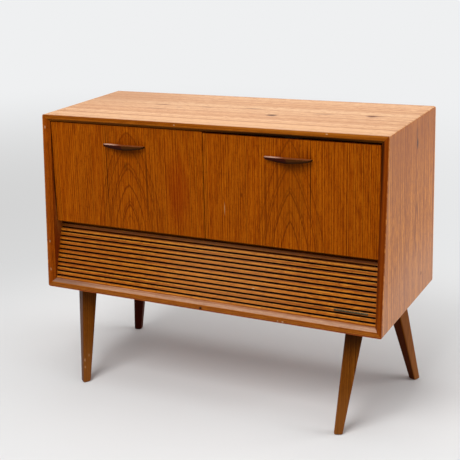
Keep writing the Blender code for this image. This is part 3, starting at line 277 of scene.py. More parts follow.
def teak(name, colours, axes, heart=(0.0, 0.0, 0.0), arches=(), power=2.0, ring_mm=6.0, line_mm=3.0,
         pore_mm=1.3, wander_mm=3.0, roughness=0.45, specular=0.3, marks=(), tints=(),
         shares=(0.2, 0.08, 0.46), pores=0.4, spread=0.11, solid=False):
    """Oiled teak. axes = (along the grain, across it, through the sheet); heart = (place across, depth
    of the heart where the grain axis is 0, slope); arches = (distance from the heart, strength) of dark
    lines, round for a power of 2 and pointed below; shares = how much of the tone the rings, the broad
    bands and the straight lines give; spread = how far from the middle tone the dark and light ends lie;
    marks = (centre, radii, colour, strength); tints = (direction, start, full, colour, strength) for faces
    that look that way; solid = the pattern changes through the wood, which a leaning sheet must not show."""
    mat, tree = new_material(name)
    where = add_node(tree, "TexCoord")
    place, facing = where["Object"], where["Normal"]
    parts = add_node(tree, "SeparateXYZ", {0: place})
    along, across, through = (parts["XYZ".index(a)] for a in axes)
    # the place in the wood, squeezed along the grain, once for the fibres and once for the pores
    through = add_node(tree, "Math", {0: through, 1: 1.0 if solid else SHEET_STRETCH},
                       operation="MULTIPLY")[0]
    shrunk = add_node(tree, "Math", {0: along, 1: FIBRE_STRETCH}, operation="MULTIPLY")[0]
    fibre = add_node(tree, "CombineXYZ", {0: across, 1: through, 2: shrunk})[0]
    shrunk = add_node(tree, "Math", {0: along, 1: PORE_STRETCH}, operation="MULTIPLY")[0]
    dash = add_node(tree, "CombineXYZ", {0: across, 1: through, 2: shrunk})[0]

    # the distance from the heart of the log, with the wander of grown wood
    drift = add_node(tree, "TexNoise", {"Vector": fibre, "Scale": per_mm(WANDER_MM), "Detail": 3.0})
    drift = add_node(tree, "MapRange", {"Value": drift["Fac"], "To Min": -wander_mm / 1000,
                                        "To Max": wander_mm / 1000})
    side = add_node(tree, "Math", {0: across, 1: drift[0]}, operation="ADD")[0]
    side = add_node(tree, "Math", {0: side, 1: heart[0]}, operation="SUBTRACT")[0]
    deep = add_node(tree, "Math", {0: along, 1: heart[2], 2: heart[1]}, operation="MULTIPLY_ADD")[0]
    radius = 0.0
    for leg in (side, deep):
        leg = add_node(tree, "Math", {0: leg}, operation="ABSOLUTE")[0]
        leg = add_node(tree, "Math", {0: leg, 1: power}, operation="POWER")[0]
        radius = add_node(tree, "Math", {0: leg, 1: radius}, operation="ADD")[0]
    radius = add_node(tree, "Math", {0: radius, 1: 1 / power}, operation="POWER")[0]

    # fibres, rings, broad bands and straight lines share the tone
    strand = add_node(tree, "TexNoise", {"Vector": fibre, "Scale": per_mm(STRAND_MM), "Detail": 2.0})["Fac"]
    tone = add_node(tree, "Math", {0: strand, 1: 1 - sum(shares)}, operation="MULTIPLY")[0]
    for spot, size_mm, part in zip((radius, radius, side), (ring_mm, BROAD_RING_MM, line_mm), shares):
        band = add_node(tree, "TexNoise", {"W": spot, "Scale": per_mm(size_mm), "Detail": 2.0},
                        noise_dimensions="1D")["Fac"]
        tone = add_node(tree, "Math", {0: band, 1: part, 2: tone}, operation="MULTIPLY_ADD")[0]
    dark, mid, light = colours
    colour = add_node(tree, "ValToRGB", {"Fac": tone},
                      stops=((0.5 - spread, dark), (0.5, mid), (0.5 + spread, light)))["Color"]

    # slow clouds of tone, and dark pores
    cloud = add_node(tree, "TexNoise", {"Vector": fibre, "Scale": per_mm(CLOUD_MM), "Detail": 2.0})
    cloud = add_node(tree, "MapRange", {"Value": cloud["Fac"], "From Min": NOISE_LOW, "From Max": NOISE_HIGH,
                                        "To Min": 1 - CLOUD_DRIFT, "To Max": 1 + CLOUD_DRIFT})
    colour = add_node(tree, "VectorMath", {0: colour, "Scale": cloud[0]}, operation="SCALE")[0]
    pore = add_node(tree, "TexNoise", {"Vector": dash, "Scale": per_mm(pore_mm), "Detail": 1.0})
    pore = add_node(tree, "MapRange", {"Value": pore["Fac"], "From Min": PORE_START, "From Max": PORE_FULL,
                                       "To Max": pores})[0]

    # pores, arches, marks and tints lie over one another in that order
    layers = [(pore, dark)]
    feather = add_node(tree, "Math", {0: strand, 1: FEATHER_MM / 1000, 2: radius},
                       operation="MULTIPLY_ADD")[0]
    for size, strength in arches:
        off = add_node(tree, "Math", {0: feather, 1: size + FEATHER_MM / 2000}, operation="SUBTRACT")[0]
        off = add_node(tree, "Math", {0: off}, operation="ABSOLUTE")[0]
        off = add_node(tree, "MapRange", {"Value": off, "From Min": LATE_WOOD_MM / 1000, "From Max": 0.0,
                                          "To Max": strength}, interpolation_type="SMOOTHSTEP")[0]
        layers.append((off, dark))
    for centre, radii, code, strength in marks:
        apart = add_node(tree, "VectorMath", {0: place, 1: centre}, operation="SUBTRACT")[0]
        apart = add_node(tree, "VectorMath", {0: apart, 1: radii}, operation="DIVIDE")[0]
        apart = add_node(tree, "VectorMath", {0: apart}, operation="LENGTH")["Value"]
        inside = add_node(tree, "MapRange", {"Value": apart, "From Min": 1.0, "From Max": MARK_CORE,
                                             "To Max": strength}, interpolation_type="SMOOTHSTEP")[0]
        layers.append((inside, code))
    for towards, start, full, code, strength in tints:
        turn = add_node(tree, "VectorMath", {0: facing, 1: towards}, operation="DOT_PRODUCT")["Value"]
        turn = add_node(tree, "MapRange", {"Value": turn, "From Min": start, "From Max": full,
                                           "To Max": strength}, interpolation_type="SMOOTHSTEP")[0]
        layers.append((turn, code))
    for share, code in layers:
        colour = add_node(tree, "Mix", {SHARE: share, BELOW: colour, ABOVE: linear(code)},
                          data_type="RGBA")[MIXED]

    # the fibres carry the gloss, and the pores are small hollows
    gloss = add_node(tree, "MapRange", {"Value": strand, "To Min": roughness - GLOSS_DRIFT,
                                        "To Max": roughness + GLOSS_DRIFT})[0]
    relief = add_node(tree, "Math", {0: strand, 1: pore}, operation="SUBTRACT")[0]
    bump = add_node(tree, "Bump", {"Height": relief, "Strength": GRAIN_BUMP, "Distance": GRAIN_DEPTH})[0]
    shader = add_node(tree, "BsdfPrincipled", {
        "Base Color": colour, "Roughness": gloss, "Normal": bump, "Specular IOR Level": specular, "IOR": 1.5})
    add_node(tree, "OutputMaterial", {"Surface": shader[0]})
    return mat


print("teak ready")

# %% [markdown]
# Every board is cut from a different part of the log, so each gets its own
# heart line. The flaps, the lippings and the slats keep the deep orange of oiled
# teak. The top has faded to a dry, pale tan, and the ends to a tone between the
# two. Each wood is given by its dark, middle and light tone.

# %% Tones of the wood
FRONT_TEAK = ("#622400", "#944200", "#b26008")
TOP_TEAK = ("#9a623a", "#c6966e", "#d8b28c")
SIDE_TEAK = ("#864614", "#ae6622", "#c67e34")
SLAT_TEAK = ("#803e04", "#b0600a", "#cc8226")
# bleached teak, made paler still by a painted sheen, for the bevel of the bottom lipping
BLEACHED_AND_PAINTED_LIGHT_TEAK = ("#946446", "#ae8062", "#c49a7c")
LIP_TEAK = ("#622c02", "#8e4804", "#ac6616")
STILE_TEAK = ("#622800", "#8c3e00", "#aa5a0c")
LEG_TEAK = ("#401d03", "#703b08", "#8c5316")
ROSEWOOD = ("#542610", "#7c4220", "#965c34")
WORN = "#d9b68c"            # bare pale wood where an edge is knocked
STREAK = "#5a2c14"          # dark mineral streaks
KNOT = "#421a0e"
GUM = "#441800"             # thin dark lines where gum has filled the wood
GUM_FAINT = "#4c1c00"
PAINTED_HANDLE_SHADOW = "#4a2000"         # painted shadow of a handle on the veneer below it
GRIME_AND_PAINTED_SHADE = "#120600"           # painted shade in the recess round the flaps and in the gaps; also old polish and dust on the bottom strip
print("tones ready")

# %% [markdown]
# The flaps have the boldest figure: arches in the middle of each, with gum
# lines beside them. A reddish patch on the left flap and a pale scratch on the
# right one are as the photograph shows them. The oil leaves hardly any gloss.

# %% Flap veneers
FLAP_FACE_Y = -0.147


def flap_marks(*rows):
    """Marks on the face of a flap, from rows of (x, z, half width, half height, colour, strength)."""
    return [((x, FLAP_FACE_Y, z), (wide, 0.05, tall), code, strength)
            for x, z, wide, tall, code, strength in rows]


flap_look = dict(axes="ZXY", specular=0.02, shares=(0.0, 0.12, 0.58), wander_mm=1.6, line_mm=2.0,
                 pore_mm=1.7, pores=0.5, spread=0.1)
left_flap_teak = teak(
    "teak_veneer_left_flap", FRONT_TEAK, heart=(-0.2185, -0.1755, 0.39), power=1.45, **flap_look,
    arches=((0.013, 0.5), (0.024, 0.8), (0.028, 0.5), (0.044, 0.8), (0.061, 0.6), (0.066, 0.6),
            (0.083, 0.6), (0.097, 0.6)),
    marks=flap_marks((-0.072, 0.560, 0.045, 0.13, "#7e2400", 0.45),
                     # the second mark is the painted shadow of the handle
                     (-0.214, 0.647, 0.060, 0.022, PAINTED_HANDLE_SHADOW, 0.55),
                     (-0.284, 0.60, 0.0026, 0.17, GUM, 0.75), (-0.276, 0.66, 0.0022, 0.08, GUM, 0.7),
                     (-0.254, 0.68, 0.0018, 0.03, GUM_FAINT, 0.8),
                     (-0.226, 0.612, 0.006, 0.016, "#4c2400", 0.5), (-0.164, 0.58, 0.0026, 0.15, GUM, 0.7)))
small_knot = ((0.103, -0.146, 0.567), (0.004, 0.02, 0.009), "#4a1c02", 0.65)
pale_scratch = ((0.057, -0.148, 0.528), (0.0015, 0.02, 0.022), "#c89a64", 0.6)
right_flap_teak = teak(
    "teak_veneer_right_flap", FRONT_TEAK, heart=(0.231, -0.1512, 0.336), power=1.3, **flap_look,
    arches=((0.0215, 0.95), (0.030, 0.4), (0.045, 0.9), (0.049, 0.6), (0.066, 0.7), (0.071, 0.5),
            (0.087, 0.6)),
    # the second mark is the painted shadow of the handle
    marks=flap_marks((0.235, 0.570, 0.055, 0.17, "#7a3c02", 0.3), (0.242, 0.647, 0.060, 0.022, PAINTED_HANDLE_SHADOW, 0.55))
    + [small_knot]
    + flap_marks((0.168, 0.57, 0.0020, 0.15, GUM_FAINT, 0.55), (0.199, 0.63, 0.0022, 0.05, GUM_FAINT, 0.6),
                 (0.284, 0.62, 0.0026, 0.15, GUM, 0.8), (0.275, 0.67, 0.0022, 0.06, GUM, 0.6))
    + [pale_scratch])
print("two flap veneers")

# %% [markdown]
# The top is matt and faded, with two knots and a few mineral streaks, and painted shade at its back left. The
# right end has taller arches and a knot near the top edge; it has painted shade towards the top and a painted
# reflection of the pale floor towards the foot. The left end is the same veneer; its inner face, which shows
# beside the left flap, is reddish brown, with painted shade beside the grille and a dark line of painted
# shade close to the flap.

# %% Top, end and inside veneers
TOP_Z, END_X, INNER_X = 0.734, 0.475, -0.457
# the first mark is painted shade at the back left of the top
top_marks = [((-0.470, 0.200, TOP_Z), (0.40, 0.34, 0.2), "#a8744c", 0.5),
             ((0.100, -0.150, TOP_Z), (0.80, 0.11, 0.02), "#c89a72", 0.5)]
top_marks += [((x, y, TOP_Z), (long, wide, 0.02), code, strength) for x, y, long, wide, code, strength in (
    (0.1225, -0.003, 0.021, 0.013, KNOT, 0.95), (0.242, 0.042, 0.042, 0.009, STREAK, 0.5),
    (0.3655, 0.045, 0.020, 0.013, STREAK, 0.95), (0.375, 0.048, 0.036, 0.009, STREAK, 0.5),
    (0.040, 0.062, 0.042, 0.009, STREAK, 0.45), (-0.2255, 0.054, 0.036, 0.009, STREAK, 0.55),
    (-0.213, 0.003, 0.036, 0.009, STREAK, 0.35), (-0.163, 0.032, 0.016, 0.008, STREAK, 0.3),
    (-0.089, 0.050, 0.028, 0.009, STREAK, 0.4))]
# painted shade towards the top of each end, and a painted reflection of the pale floor towards its foot
end_marks = [((END_X, 0.030, 0.780), (0.3, 0.6, 0.30), "#8a4404", 0.5),
             ((END_X, 0.030, 0.270), (0.3, 0.6, 0.22), "#b48c78", 0.3)]
# on the inner face of the left end: reddish brown, painted shade beside the grille, and two dark lines of
# painted shade beside the flap
end_marks += [((INNER_X, y, z), (0.006, wide, tall), code, strength) for y, z, wide, tall, code, strength in (
    (-0.150, 0.600, 0.035, 0.22, "#963e00", 0.9), (-0.160, 0.360, 0.09, 0.14, "#7c2a00", 0.9),
    (-0.1465, 0.520, 0.007, 0.10, "#2e0c00", 0.85), (-0.1405, 0.660, 0.007, 0.10, "#2e0c00", 0.85))]
end_marks += [((END_X, y, z), (0.02, wide, tall), code, strength) for y, z, wide, tall, code, strength in (
    (0.0555, 0.692, 0.007, 0.035, STREAK, 0.6), (0.0590, 0.672, 0.009, 0.020, KNOT, 0.95),
    (0.1450, 0.698, 0.006, 0.020, STREAK, 0.4), (0.063, 0.515, 0.006, 0.04, STREAK, 0.35),
    (0.044, 0.440, 0.006, 0.05, STREAK, 0.35), (0.102, 0.328, 0.006, 0.008, STREAK, 0.8))]
top_teak = teak(
    "teak_veneer_top", TOP_TEAK, "XYZ", heart=(0.06, 0.02, 0.03), ring_mm=18.0, line_mm=13.0, pore_mm=3.6,
    roughness=0.55, specular=0.08, shares=(0.2, 0.16, 0.3), pores=0.6, spread=0.1, marks=top_marks)
side_teak = teak(
    "teak_veneer_side", SIDE_TEAK, "ZYX", heart=(0.056, -0.027, 0.1), ring_mm=7.0, line_mm=11.0, pore_mm=2.6,
    arches=((0.015, 0.5), (0.0245, 0.8), (0.033, 0.7), (0.044, 0.5)), specular=0.22,
    shares=(0.2, 0.16, 0.26), pores=0.65, spread=0.042, marks=end_marks)
board_teak = teak("teak_veneer_inside", FRONT_TEAK, "XYZ", ring_mm=7.0, roughness=0.5, specular=0.2)
print("three veneers,", len(top_marks) + len(end_marks), "marks on them")

# %% [markdown]
# Round the front the edges are solid teak. The top strip has painted shade where it meets the flaps, most of
# all over the right one, and a painted highlight along its upper edge. The uprights have painted shade on the
# inside, the right one also on its strip lower down. The bevel above the bottom strip is bleached and dry,
# with a painted sheen. Small knocks at the edges show bare wood.

# %% Lipping finishes
# the bevel is bleached and has a painted sheen of the light from above; its mark darkens it towards the left
# end
bevel_teak = teak("teak_bevel_faded_painted_light", BLEACHED_AND_PAINTED_LIGHT_TEAK, "XZY", roughness=0.4,
                  marks=(((-0.46, -0.19, 0.285), (0.20, 0.3, 0.3), "#7c5644", 0.8),))
foot_rail_teak = teak(
    "teak_lipping_foot", LIP_TEAK, "XZY", specular=0.1,
    marks=(((-0.001, -0.194, 0.275), (0.006, 0.02, 0.006), GRIME_AND_PAINTED_SHADE, 1.0),
           ((0.225, -0.194, 0.274), (0.004, 0.02, 0.0022), WORN, 0.8),
           ((0.212, -0.194, 0.2745), (0.003, 0.02, 0.0018), WORN, 0.6)))
rail_teak = teak(
    "teak_lipping_top", LIP_TEAK, "XZY", specular=0.04,
    # painted shade on the chamfer over each flap, darkest over the right one, and a painted highlight along
    # the upper edge; two knocks show bare wood
    marks=(((0.240, -0.140, 0.7185), (0.45, 0.3, 0.0075), GRIME_AND_PAINTED_SHADE, 0.97),
           ((0.300, -0.147, 0.7320), (0.45, 0.3, 0.0070), "#b0681a", 0.45),
           ((-0.240, -0.140, 0.7185), (0.45, 0.3, 0.0070), GRIME_AND_PAINTED_SHADE, 0.7),
           ((-0.073, -0.147, 0.728), (0.003, 0.02, 0.0016), WORN, 0.7),
           ((0.327, -0.147, 0.730), (0.004, 0.02, 0.0016), WORN, 0.7)))
stile_teak = teak(
    "teak_lipping_upright", STILE_TEAK, "ZXY", specular=0.04,
    # painted shade on the chamfer of the right upright and on its strip lower down; three knocks show bare
    # wood on the left one
    marks=(((0.4595, -0.155, 0.660), (0.0080, 0.3, 0.20), GRIME_AND_PAINTED_SHADE, 0.97),
           ((0.4595, -0.170, 0.450), (0.0070, 0.3, 0.25), "#481600", 0.85),
           ((0.4720, -0.170, 0.500), (0.02, 0.3, 0.50), "#702a00", 0.7),
           ((-0.467, -0.149, 0.701), (0.0016, 0.02, 0.006), WORN, 0.8),
           ((-0.465, -0.181, 0.395), (0.0016, 0.02, 0.005), WORN, 0.7),
           ((-0.465, -0.190, 0.318), (0.0016, 0.02, 0.006), WORN, 0.7)))
print("four lipping finishes")

# %% [markdown]
# The slats lean with the grille. Their upper and lower faces carry near-black painted shade, so that the gaps
# look deep, and the uppermost slats carry the painted shadow of the flaps above. The grille has painted shade
# on its left and painted light in the middle.

# %% Slat finish
GRILLE_LEAN = math.radians(18.37)
GRILLE_UP = Vector((0.0, math.sin(GRILLE_LEAN), math.cos(GRILLE_LEAN)))
GRILLE_OUT = Vector((0.0, -math.cos(GRILLE_LEAN), math.sin(GRILLE_LEAN)))
slat_teak = teak(
    "teak_slat", SLAT_TEAK, "XZY", specular=0.15, line_mm=6.0, pore_mm=2.6, shares=(0.05, 0.05, 0.45),
    # the tints are near-black painted shade on the upper and lower faces of each slat, in the gaps
    pores=0.65, spread=0.1, tints=[(way, 0.3, 0.6, GRIME_AND_PAINTED_SHADE, 0.97) for way in (GRILLE_UP, -GRILLE_UP)],
    # painted light in the middle, painted shade on the left, and the painted shadow of the flaps over the
    # uppermost slats; two knocks show bare wood
    marks=(((0.060, -0.160, 0.350), (0.30, 0.3, 0.20), "#c08048", 0.3),
           ((-0.440, -0.160, 0.350), (0.30, 0.3, 0.20), "#964600", 0.35),
           ((0.0, -0.150, 0.447), (9.0, 0.3, 0.034), "#4a2404", 0.7),
           ((-0.142, -0.157, 0.367), (0.006, 0.02, 0.002), WORN, 0.6),
           ((0.135, -0.166, 0.337), (0.006, 0.02, 0.002), WORN, 0.6)))
print("slat finish, leaning %.1f degrees" % math.degrees(GRILLE_LEAN))

# %% [markdown]
# The legs are solid teak, so their grain runs right through. The front ones have painted shade under the
# case, and all but the back left one painted light towards the foot. Each was screwed in to its own turn, and
# each has its own painted light and shade: the front left one has a painted grey reflection on its outer face
# and is chipped, the back right one has painted shade on its front left face and painted light on its right
# face, and the back left one has painted shade on its front.

# %% Leg finishes
leg_look = dict(axes="ZXY", ring_mm=4.0, specular=0.03, pores=0.15, spread=0.22, solid=True)
# painted shade at the top of a leg under the case, and painted light towards the foot
leg_painted_shade = ((0.0, 0.0, 0.275), (9.0, 9.0, 0.115), "#1e0900")
leg_painted_light_foot = ((0.0, 0.0, 0.0), (9.0, 9.0, 0.15), "#905828", 0.5)
leg_chips = tuple((spot, (0.0025, 0.004, tall), WORN, strength) for spot, tall, strength in (
    ((-0.378, -0.194, 0.064), 0.007, 0.3), ((-0.377, -0.197, 0.044), 0.005, 0.3),
    ((-0.371, -0.183, 0.075), 0.006, 0.2)))
leg_teak = teak("teak_leg", LEG_TEAK, marks=(leg_painted_shade + (0.8,), leg_painted_light_foot), **leg_look)
# its tint is a painted grey reflection on the outer face; the chips are knocks that show bare wood
painted_reflection_leg_teak = teak("teak_leg_painted_reflection", LEG_TEAK, marks=(leg_painted_shade + (0.5,), leg_painted_light_foot) + leg_chips,
                     tints=(((-0.6, -0.8, 0.0), 0.75, 0.95, "#5e4640", 0.75),), **leg_look)
# painted shade on the front left face and painted light on the right face
painted_light_shade_leg_teak = teak("teak_leg_painted_light_shade", LEG_TEAK, marks=(leg_painted_light_foot,), **leg_look,
                     tints=(((-0.4, -0.9, 0.0), 0.75, 0.95, "#421502", 0.9),
                            ((0.9, -0.4, 0.0), 0.75, 0.95, "#865638", 0.4)))
# painted shade on the faces that look to the front
painted_shade_leg_teak = teak("teak_leg_painted_shade_front", LEG_TEAK, **leg_look,
                     tints=(((0.47, -0.88, 0.0), 0.0, 0.3, "#360d01", 1.0),))
print("four leg finishes")

# %% [markdown]
# The handles are rosewood, browner and darker than the teak. The flat top has a painted sheen at its left
# end, the two front facets carry painted shade, the left one redder than the right, and the hollow underneath
# has near-black painted shade.

# %% Handle finish
HANDLE_MIDS = (-0.2261, 0.2284)
# painted sheen on the flat top at the left end of each handle
handle_painted_highlight = [((mid - 0.044, -0.160, 0.6680), (0.036, 0.05, 0.02), "#d4b09a", 0.85) for mid in HANDLE_MIDS]
rosewood = teak(
    "rosewood_handle", ROSEWOOD, "XZY", ring_mm=3.0, roughness=0.4, specular=0.04, solid=True, marks=handle_painted_highlight,
    # tints: painted shade on the left and right facets, near-black painted shade in the hollow underneath,
    # and near-black ends
    tints=(((-1.0, 0.0, 0.0), 0.01, 0.05, "#3a0e02", 1.0), ((1.0, 0.0, 0.0), 0.01, 0.05, "#4c2604", 1.0),
           ((0.0, 0.0, -1.0), 0.20, 0.60, "#100400", 0.95), ((1.0, 0.0, 0.0), 0.5, 0.8, "#080200", 1.0),
           ((-1.0, 0.0, 0.0), 0.5, 0.8, "#180600", 1.0)))
print("handle finish")

# %% [markdown]
# A CAD node keeps its mesh, and only its finish changes. It goes on the slot of
# the object, so the mesh data stays as the frame gave it.


# %% Put the wood on the boards
def dress(mat, *names):
    """Give CAD nodes a material on their own slot, with the mesh left as it is."""
    for name in names:
        holder = nodes[name]
        holder.material_slots[0].link = "OBJECT"
        holder.material_slots[0].material = mat
    print(mat.name, "on", len(names))


slats = sorted(n for n in nodes if n.startswith("grille_slat"))
dress(left_flap_teak, "left_flap")
dress(right_flap_teak, "right_flap")
dress(top_teak, "top_panel")
dress(side_teak, "left_side_panel", "right_side_panel")
dress(board_teak, "bottom_panel", "compartment_shelf", "centre_partition")
dress(rail_teak, "flap_rail")
dress(slat_teak, *slats)
dress(leg_teak, "leg_front_right")
dress(painted_reflection_leg_teak, "leg_front_left")
dress(painted_light_shade_leg_teak, "leg_back_right")
dress(painted_shade_leg_teak, "leg_back_left")
dress(rosewood, "left_handle", "right_handle")

# %% [markdown]
# ## Metals, plastics, boards and paints
# The remaining finishes are all a base colour that varies a little: enamel has
# orange peel, moulded plastic a faint cloud, brushed metal a fine scratch. One
# function makes them, with the size of the variation in millimetres. Where the
# real one is finer than a millimetre, it is drawn at 1.2 to 2 mm, to show.


# %% One function for plain finishes
MOTTLE_LOW, MOTTLE_HIGH = 0.35, 0.65        # values of the noise at which the two colours are reached
MOTTLE_DEPTH = 0.0005


def mottled(name, low, high, size_mm, roughness, metallic=0.0, bump=0.05, squeeze=(1.0, 1.0, 1.0),
            specular=0.5, spread=0.08):
    """A surface whose colour and gloss drift between two values; squeeze stretches the pattern."""
    mat, tree = new_material(name)
    place = add_node(tree, "TexCoord")["Object"]
    place = add_node(tree, "VectorMath", {0: place, 1: squeeze}, operation="MULTIPLY")[0]
    drift = add_node(tree, "TexNoise", {"Vector": place, "Scale": per_mm(size_mm), "Detail": 3.0})["Fac"]
    colour = add_node(tree, "ValToRGB", {"Fac": drift},
                      stops=((MOTTLE_LOW, low), (MOTTLE_HIGH, high)))["Color"]
    gloss = add_node(tree, "MapRange", {"Value": drift, "To Min": roughness - spread,
                                        "To Max": roughness + spread})[0]
    relief = add_node(tree, "Bump", {"Height": drift, "Strength": bump, "Distance": MOTTLE_DEPTH})[0]
    shader = add_node(tree, "BsdfPrincipled", {
        "Base Color": colour, "Roughness": gloss, "Normal": relief, "Metallic": metallic,
        "Specular IOR Level": specular})
    add_node(tree, "OutputMaterial", {"Surface": shader[0]})
    return mat


LENGTHWAYS = (0.1, 1.0, 1.0)        # grain that runs along the cabinet
print("plain finishes ready")

# %% [markdown]
# The hinges, stays and frames are brass, brushed and lacquered. The strip on the
# grille has lost its lacquer. Screws, platter and pillar are bright nickel on
# steel, and the chassis, which nobody sees, is dull zinc on steel.

# %% Metals
# brushed along the leaf and lacquered: fine streaks and a warm, soft mirror
brass = mottled("brass_lacquered", "#9a7430", "#c09a4e", 1.5, 0.32, metallic=1.0, squeeze=(0.05, 1.0, 1.0))
# bare brass, gone brown in the air: blotchy, with a last dull shine
old_brass = mottled("brass_darkened", "#2c2418", "#584a34", 2.0, 0.4, metallic=1.0)
# polished, then nickel plated: the brightest metal here, a slightly warm white
steel = mottled("steel_nickel_plated", "#a9a7a2", "#c6c4bf", 2.0, 0.28, metallic=1.0)
# plated with zinc and left unpolished: a dull grey in soft patches
zinc = mottled("steel_zinc_plated", "#7c7e7b", "#989a96", 9.0, 0.45, metallic=1.0)
print("four metals")

# %% [markdown]
# Knobs, buttons and the pick-up arm are moulded in the two hard plastics of the
# time, one pale and one black. The mat of the turntable is rubber.

# %% Plastics and rubber
# urea plastic, pressed hot in a polished mould: ivory and glossy, with a slow cloud in it
ivory = mottled("urea_plastic_ivory", "#dccfa8", "#e8ddbc", 14.0, 0.3)
# phenolic plastic, pressed with wood flour: nearly black, glossy, faintly mottled
phenolic = mottled("phenolic_plastic_black", "#0f0d0c", "#1b1816", 6.0, 0.3)
# rubber, moulded against a blasted tool: a fine grit that takes away the shine
rubber = mottled("rubber_black", "#141414", "#202020", 1.2, 0.8, bump=0.2)
print("three moulded finishes")

# %% [markdown]
# Out of sight the cabinet is plain: a hardboard back, a birch board that carries
# the loudspeakers, and battens stained black so that they vanish behind the
# slats. The front of the receiver is veneer under a dark lacquer.

# %% Boards
# hardboard, wood pulp pressed flat: dull brown, with the felted speckle of the pulp
hardboard = mottled("hardboard_brown", "#6b4a2f", "#86603f", 1.6, 0.8, bump=0.15, specular=0.2)
# birch, sanded and left bare: pale and dry, with an even straight grain
plain_board = mottled("birch_board", "#a8804e", "#c09a66", 4.0, 0.7, squeeze=LENGTHWAYS, specular=0.2)
# softwood, stained black with a brush: no shine, and only a trace of the grain
black_stain = mottled("black_stained_batten", "#0c0a08", "#17130f", 4.0, 0.8, squeeze=(1.0, 1.0, 0.1),
                      specular=0.1)
# veneer under sprayed dark lacquer: a closed, glossy brown that lets some grain through
fascia_brown = mottled("fascia_dark_lacquer", "#2c1a10", "#3c2618", 8.0, 0.35, squeeze=LENGTHWAYS)
print("four boards")

# %% [markdown]
# Paint and ink lie as thin films. A thick baked coat gets orange peel, and a
# printed one is even and has little gloss.

# %% Paints and inks
# enamel, sprayed on the deck plate and baked: cream, with the soft dimples of orange peel
enamel = mottled("enamel_cream", "#cfc6ad", "#dcd4bd", 3.0, 0.35, bump=0.08)
# red paint, brushed on the pointer: bright, with the tone of one uneven coat
red_paint = mottled("pointer_red", "#a81a14", "#c4241c", 5.0, 0.4)
# ink, printed through a screen: an even film with sharp edges, nearly matt
cream_ink = mottled("printing_ink_cream", "#e6d9aa", "#f0e6c2", 4.0, 0.6)
dark_ink = mottled("printing_ink_brown", "#2a2018", "#3a2c20", 4.0, 0.6)
# black paint, sprayed thin behind the dial: deep, so that the figures seem to float
dial_black = mottled("dial_paint_black", "#0b0f0e", "#141a18", 6.0, 0.5)
print("five paints and inks")

# %% [markdown]
# The loudspeaker cloth is a plain weave of black cotton. Two sets of bands,
# one for each thread direction, give the over-and-under relief. Real threads
# are half a millimetre apart; they are drawn at 4 mm, so that they show.

# %% Woven cloth
THREAD_MM = 4.0
WAVE_REPEAT = math.pi / 10  # metres after which a wave texture of scale 1 repeats

# black cotton, woven: it swallows nearly all light, and only the relief shows
cloth, tree = new_material("cotton_cloth_black")
place = add_node(tree, "TexCoord")["Object"]
warp, weft = (add_node(tree, "TexWave", {"Vector": place, "Scale": per_mm(THREAD_MM) * WAVE_REPEAT,
                                         "Distortion": 0.4}, bands_direction=way)["Fac"] for way in "XZ")
weave = add_node(tree, "Math", {0: warp, 1: weft}, operation="MULTIPLY")[0]
threads = add_node(tree, "ValToRGB", {"Fac": weave}, stops=((0.1, "#030303"), (0.9, "#12100e")))["Color"]
relief = add_node(tree, "Bump", {"Height": weave, "Strength": 0.4, "Distance": 0.0004})[0]
shader = add_node(tree, "BsdfPrincipled", {
    "Base Color": threads, "Roughness": 0.95, "Normal": relief, "Specular IOR Level": 0.1})
add_node(tree, "OutputMaterial", {"Surface": shader[0]})
print("cloth: threads drawn every %.1f mm" % THREAD_MM)

# %% [markdown]
# The window of the dial is a cast acrylic sheet. Glass would look the same here,
# but the thin edge of acrylic is clear and not green.

# %% Clear acrylic
# acrylic, cast between glass plates: fully clear, with a mirror gloss that wiping has dulled in places
acrylic, tree = new_material("acrylic_clear")
place = add_node(tree, "TexCoord")["Object"]
smear = add_node(tree, "TexNoise", {"Vector": place, "Scale": per_mm(40), "Detail": 2.0})["Fac"]
gloss = add_node(tree, "MapRange", {"Value": smear, "To Min": 0.01, "To Max": 0.06})[0]
shader = add_node(tree, "BsdfPrincipled", {
    "Base Color": linear("#f4f6f2"), "Roughness": gloss, "Transmission Weight": 1.0, "IOR": 1.49})
add_node(tree, "OutputMaterial", {"Surface": shader[0]})
print("acrylic ready")

# %% [markdown]
# With these, every remaining CAD node gets its finish.

# %% Put the plain finishes on
buttons = ["push_button_%d" % i for i in (1, 2, 3)]
dress(cloth, "speaker_cloth")
dress(acrylic, "dial_glass")
dress(black_stain, "grille_batten_left", "grille_batten_centre", "grille_batten_right")
dress(plain_board, "speaker_baffle")
dress(hardboard, "back_panel")
dress(phenolic, "left_loudspeaker", "right_loudspeaker", "arm_rest")
dress(brass, *[n for n in nodes if "_hinge_" in n or "_stay_" in n])
dress(enamel, "deck_plinth")
dress(steel, "platter", "arm_pillar")
dress(rubber, "platter_mat")
dress(ivory, "pickup_arm", "speed_knob", "volume_knob", "tuning_knob", *buttons)
dress(fascia_brown, "receiver_fascia")
dress(zinc, "receiver_chassis")
dress(red_paint, "dial_pointer")

# %% [markdown]
# ## Mesh helpers
# Small fittings are built in code from outlines and turned profiles, in the
# same metres as the frame, and each rides on the body that carries it. Most are
# a row of rings with a skin over them, as a boat is planked over its ribs.


# %% Mesh helpers
def piece(name, bm, mat, body, sharp=30.0):
    """Turn a bmesh into a named piece that rides on a body."""
    bmesh.ops.remove_doubles(bm, verts=bm.verts[:], dist=1e-6)
    bmesh.ops.recalc_face_normals(bm, faces=bm.faces[:])
    mesh = bpy.data.meshes.new(name)
    bm.to_mesh(mesh)
    bm.free()
    mesh.shade_smooth()
    mesh.set_sharp_from_angle(angle=math.radians(sharp))
    mesh.materials.append(mat)
    made = bpy.data.objects.new(name, mesh)
    bpy.context.scene.collection.objects.link(made)
    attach(made, body)
    print("%-26s %5d faces on %s" % (name, len(mesh.polygons), body))
    return made


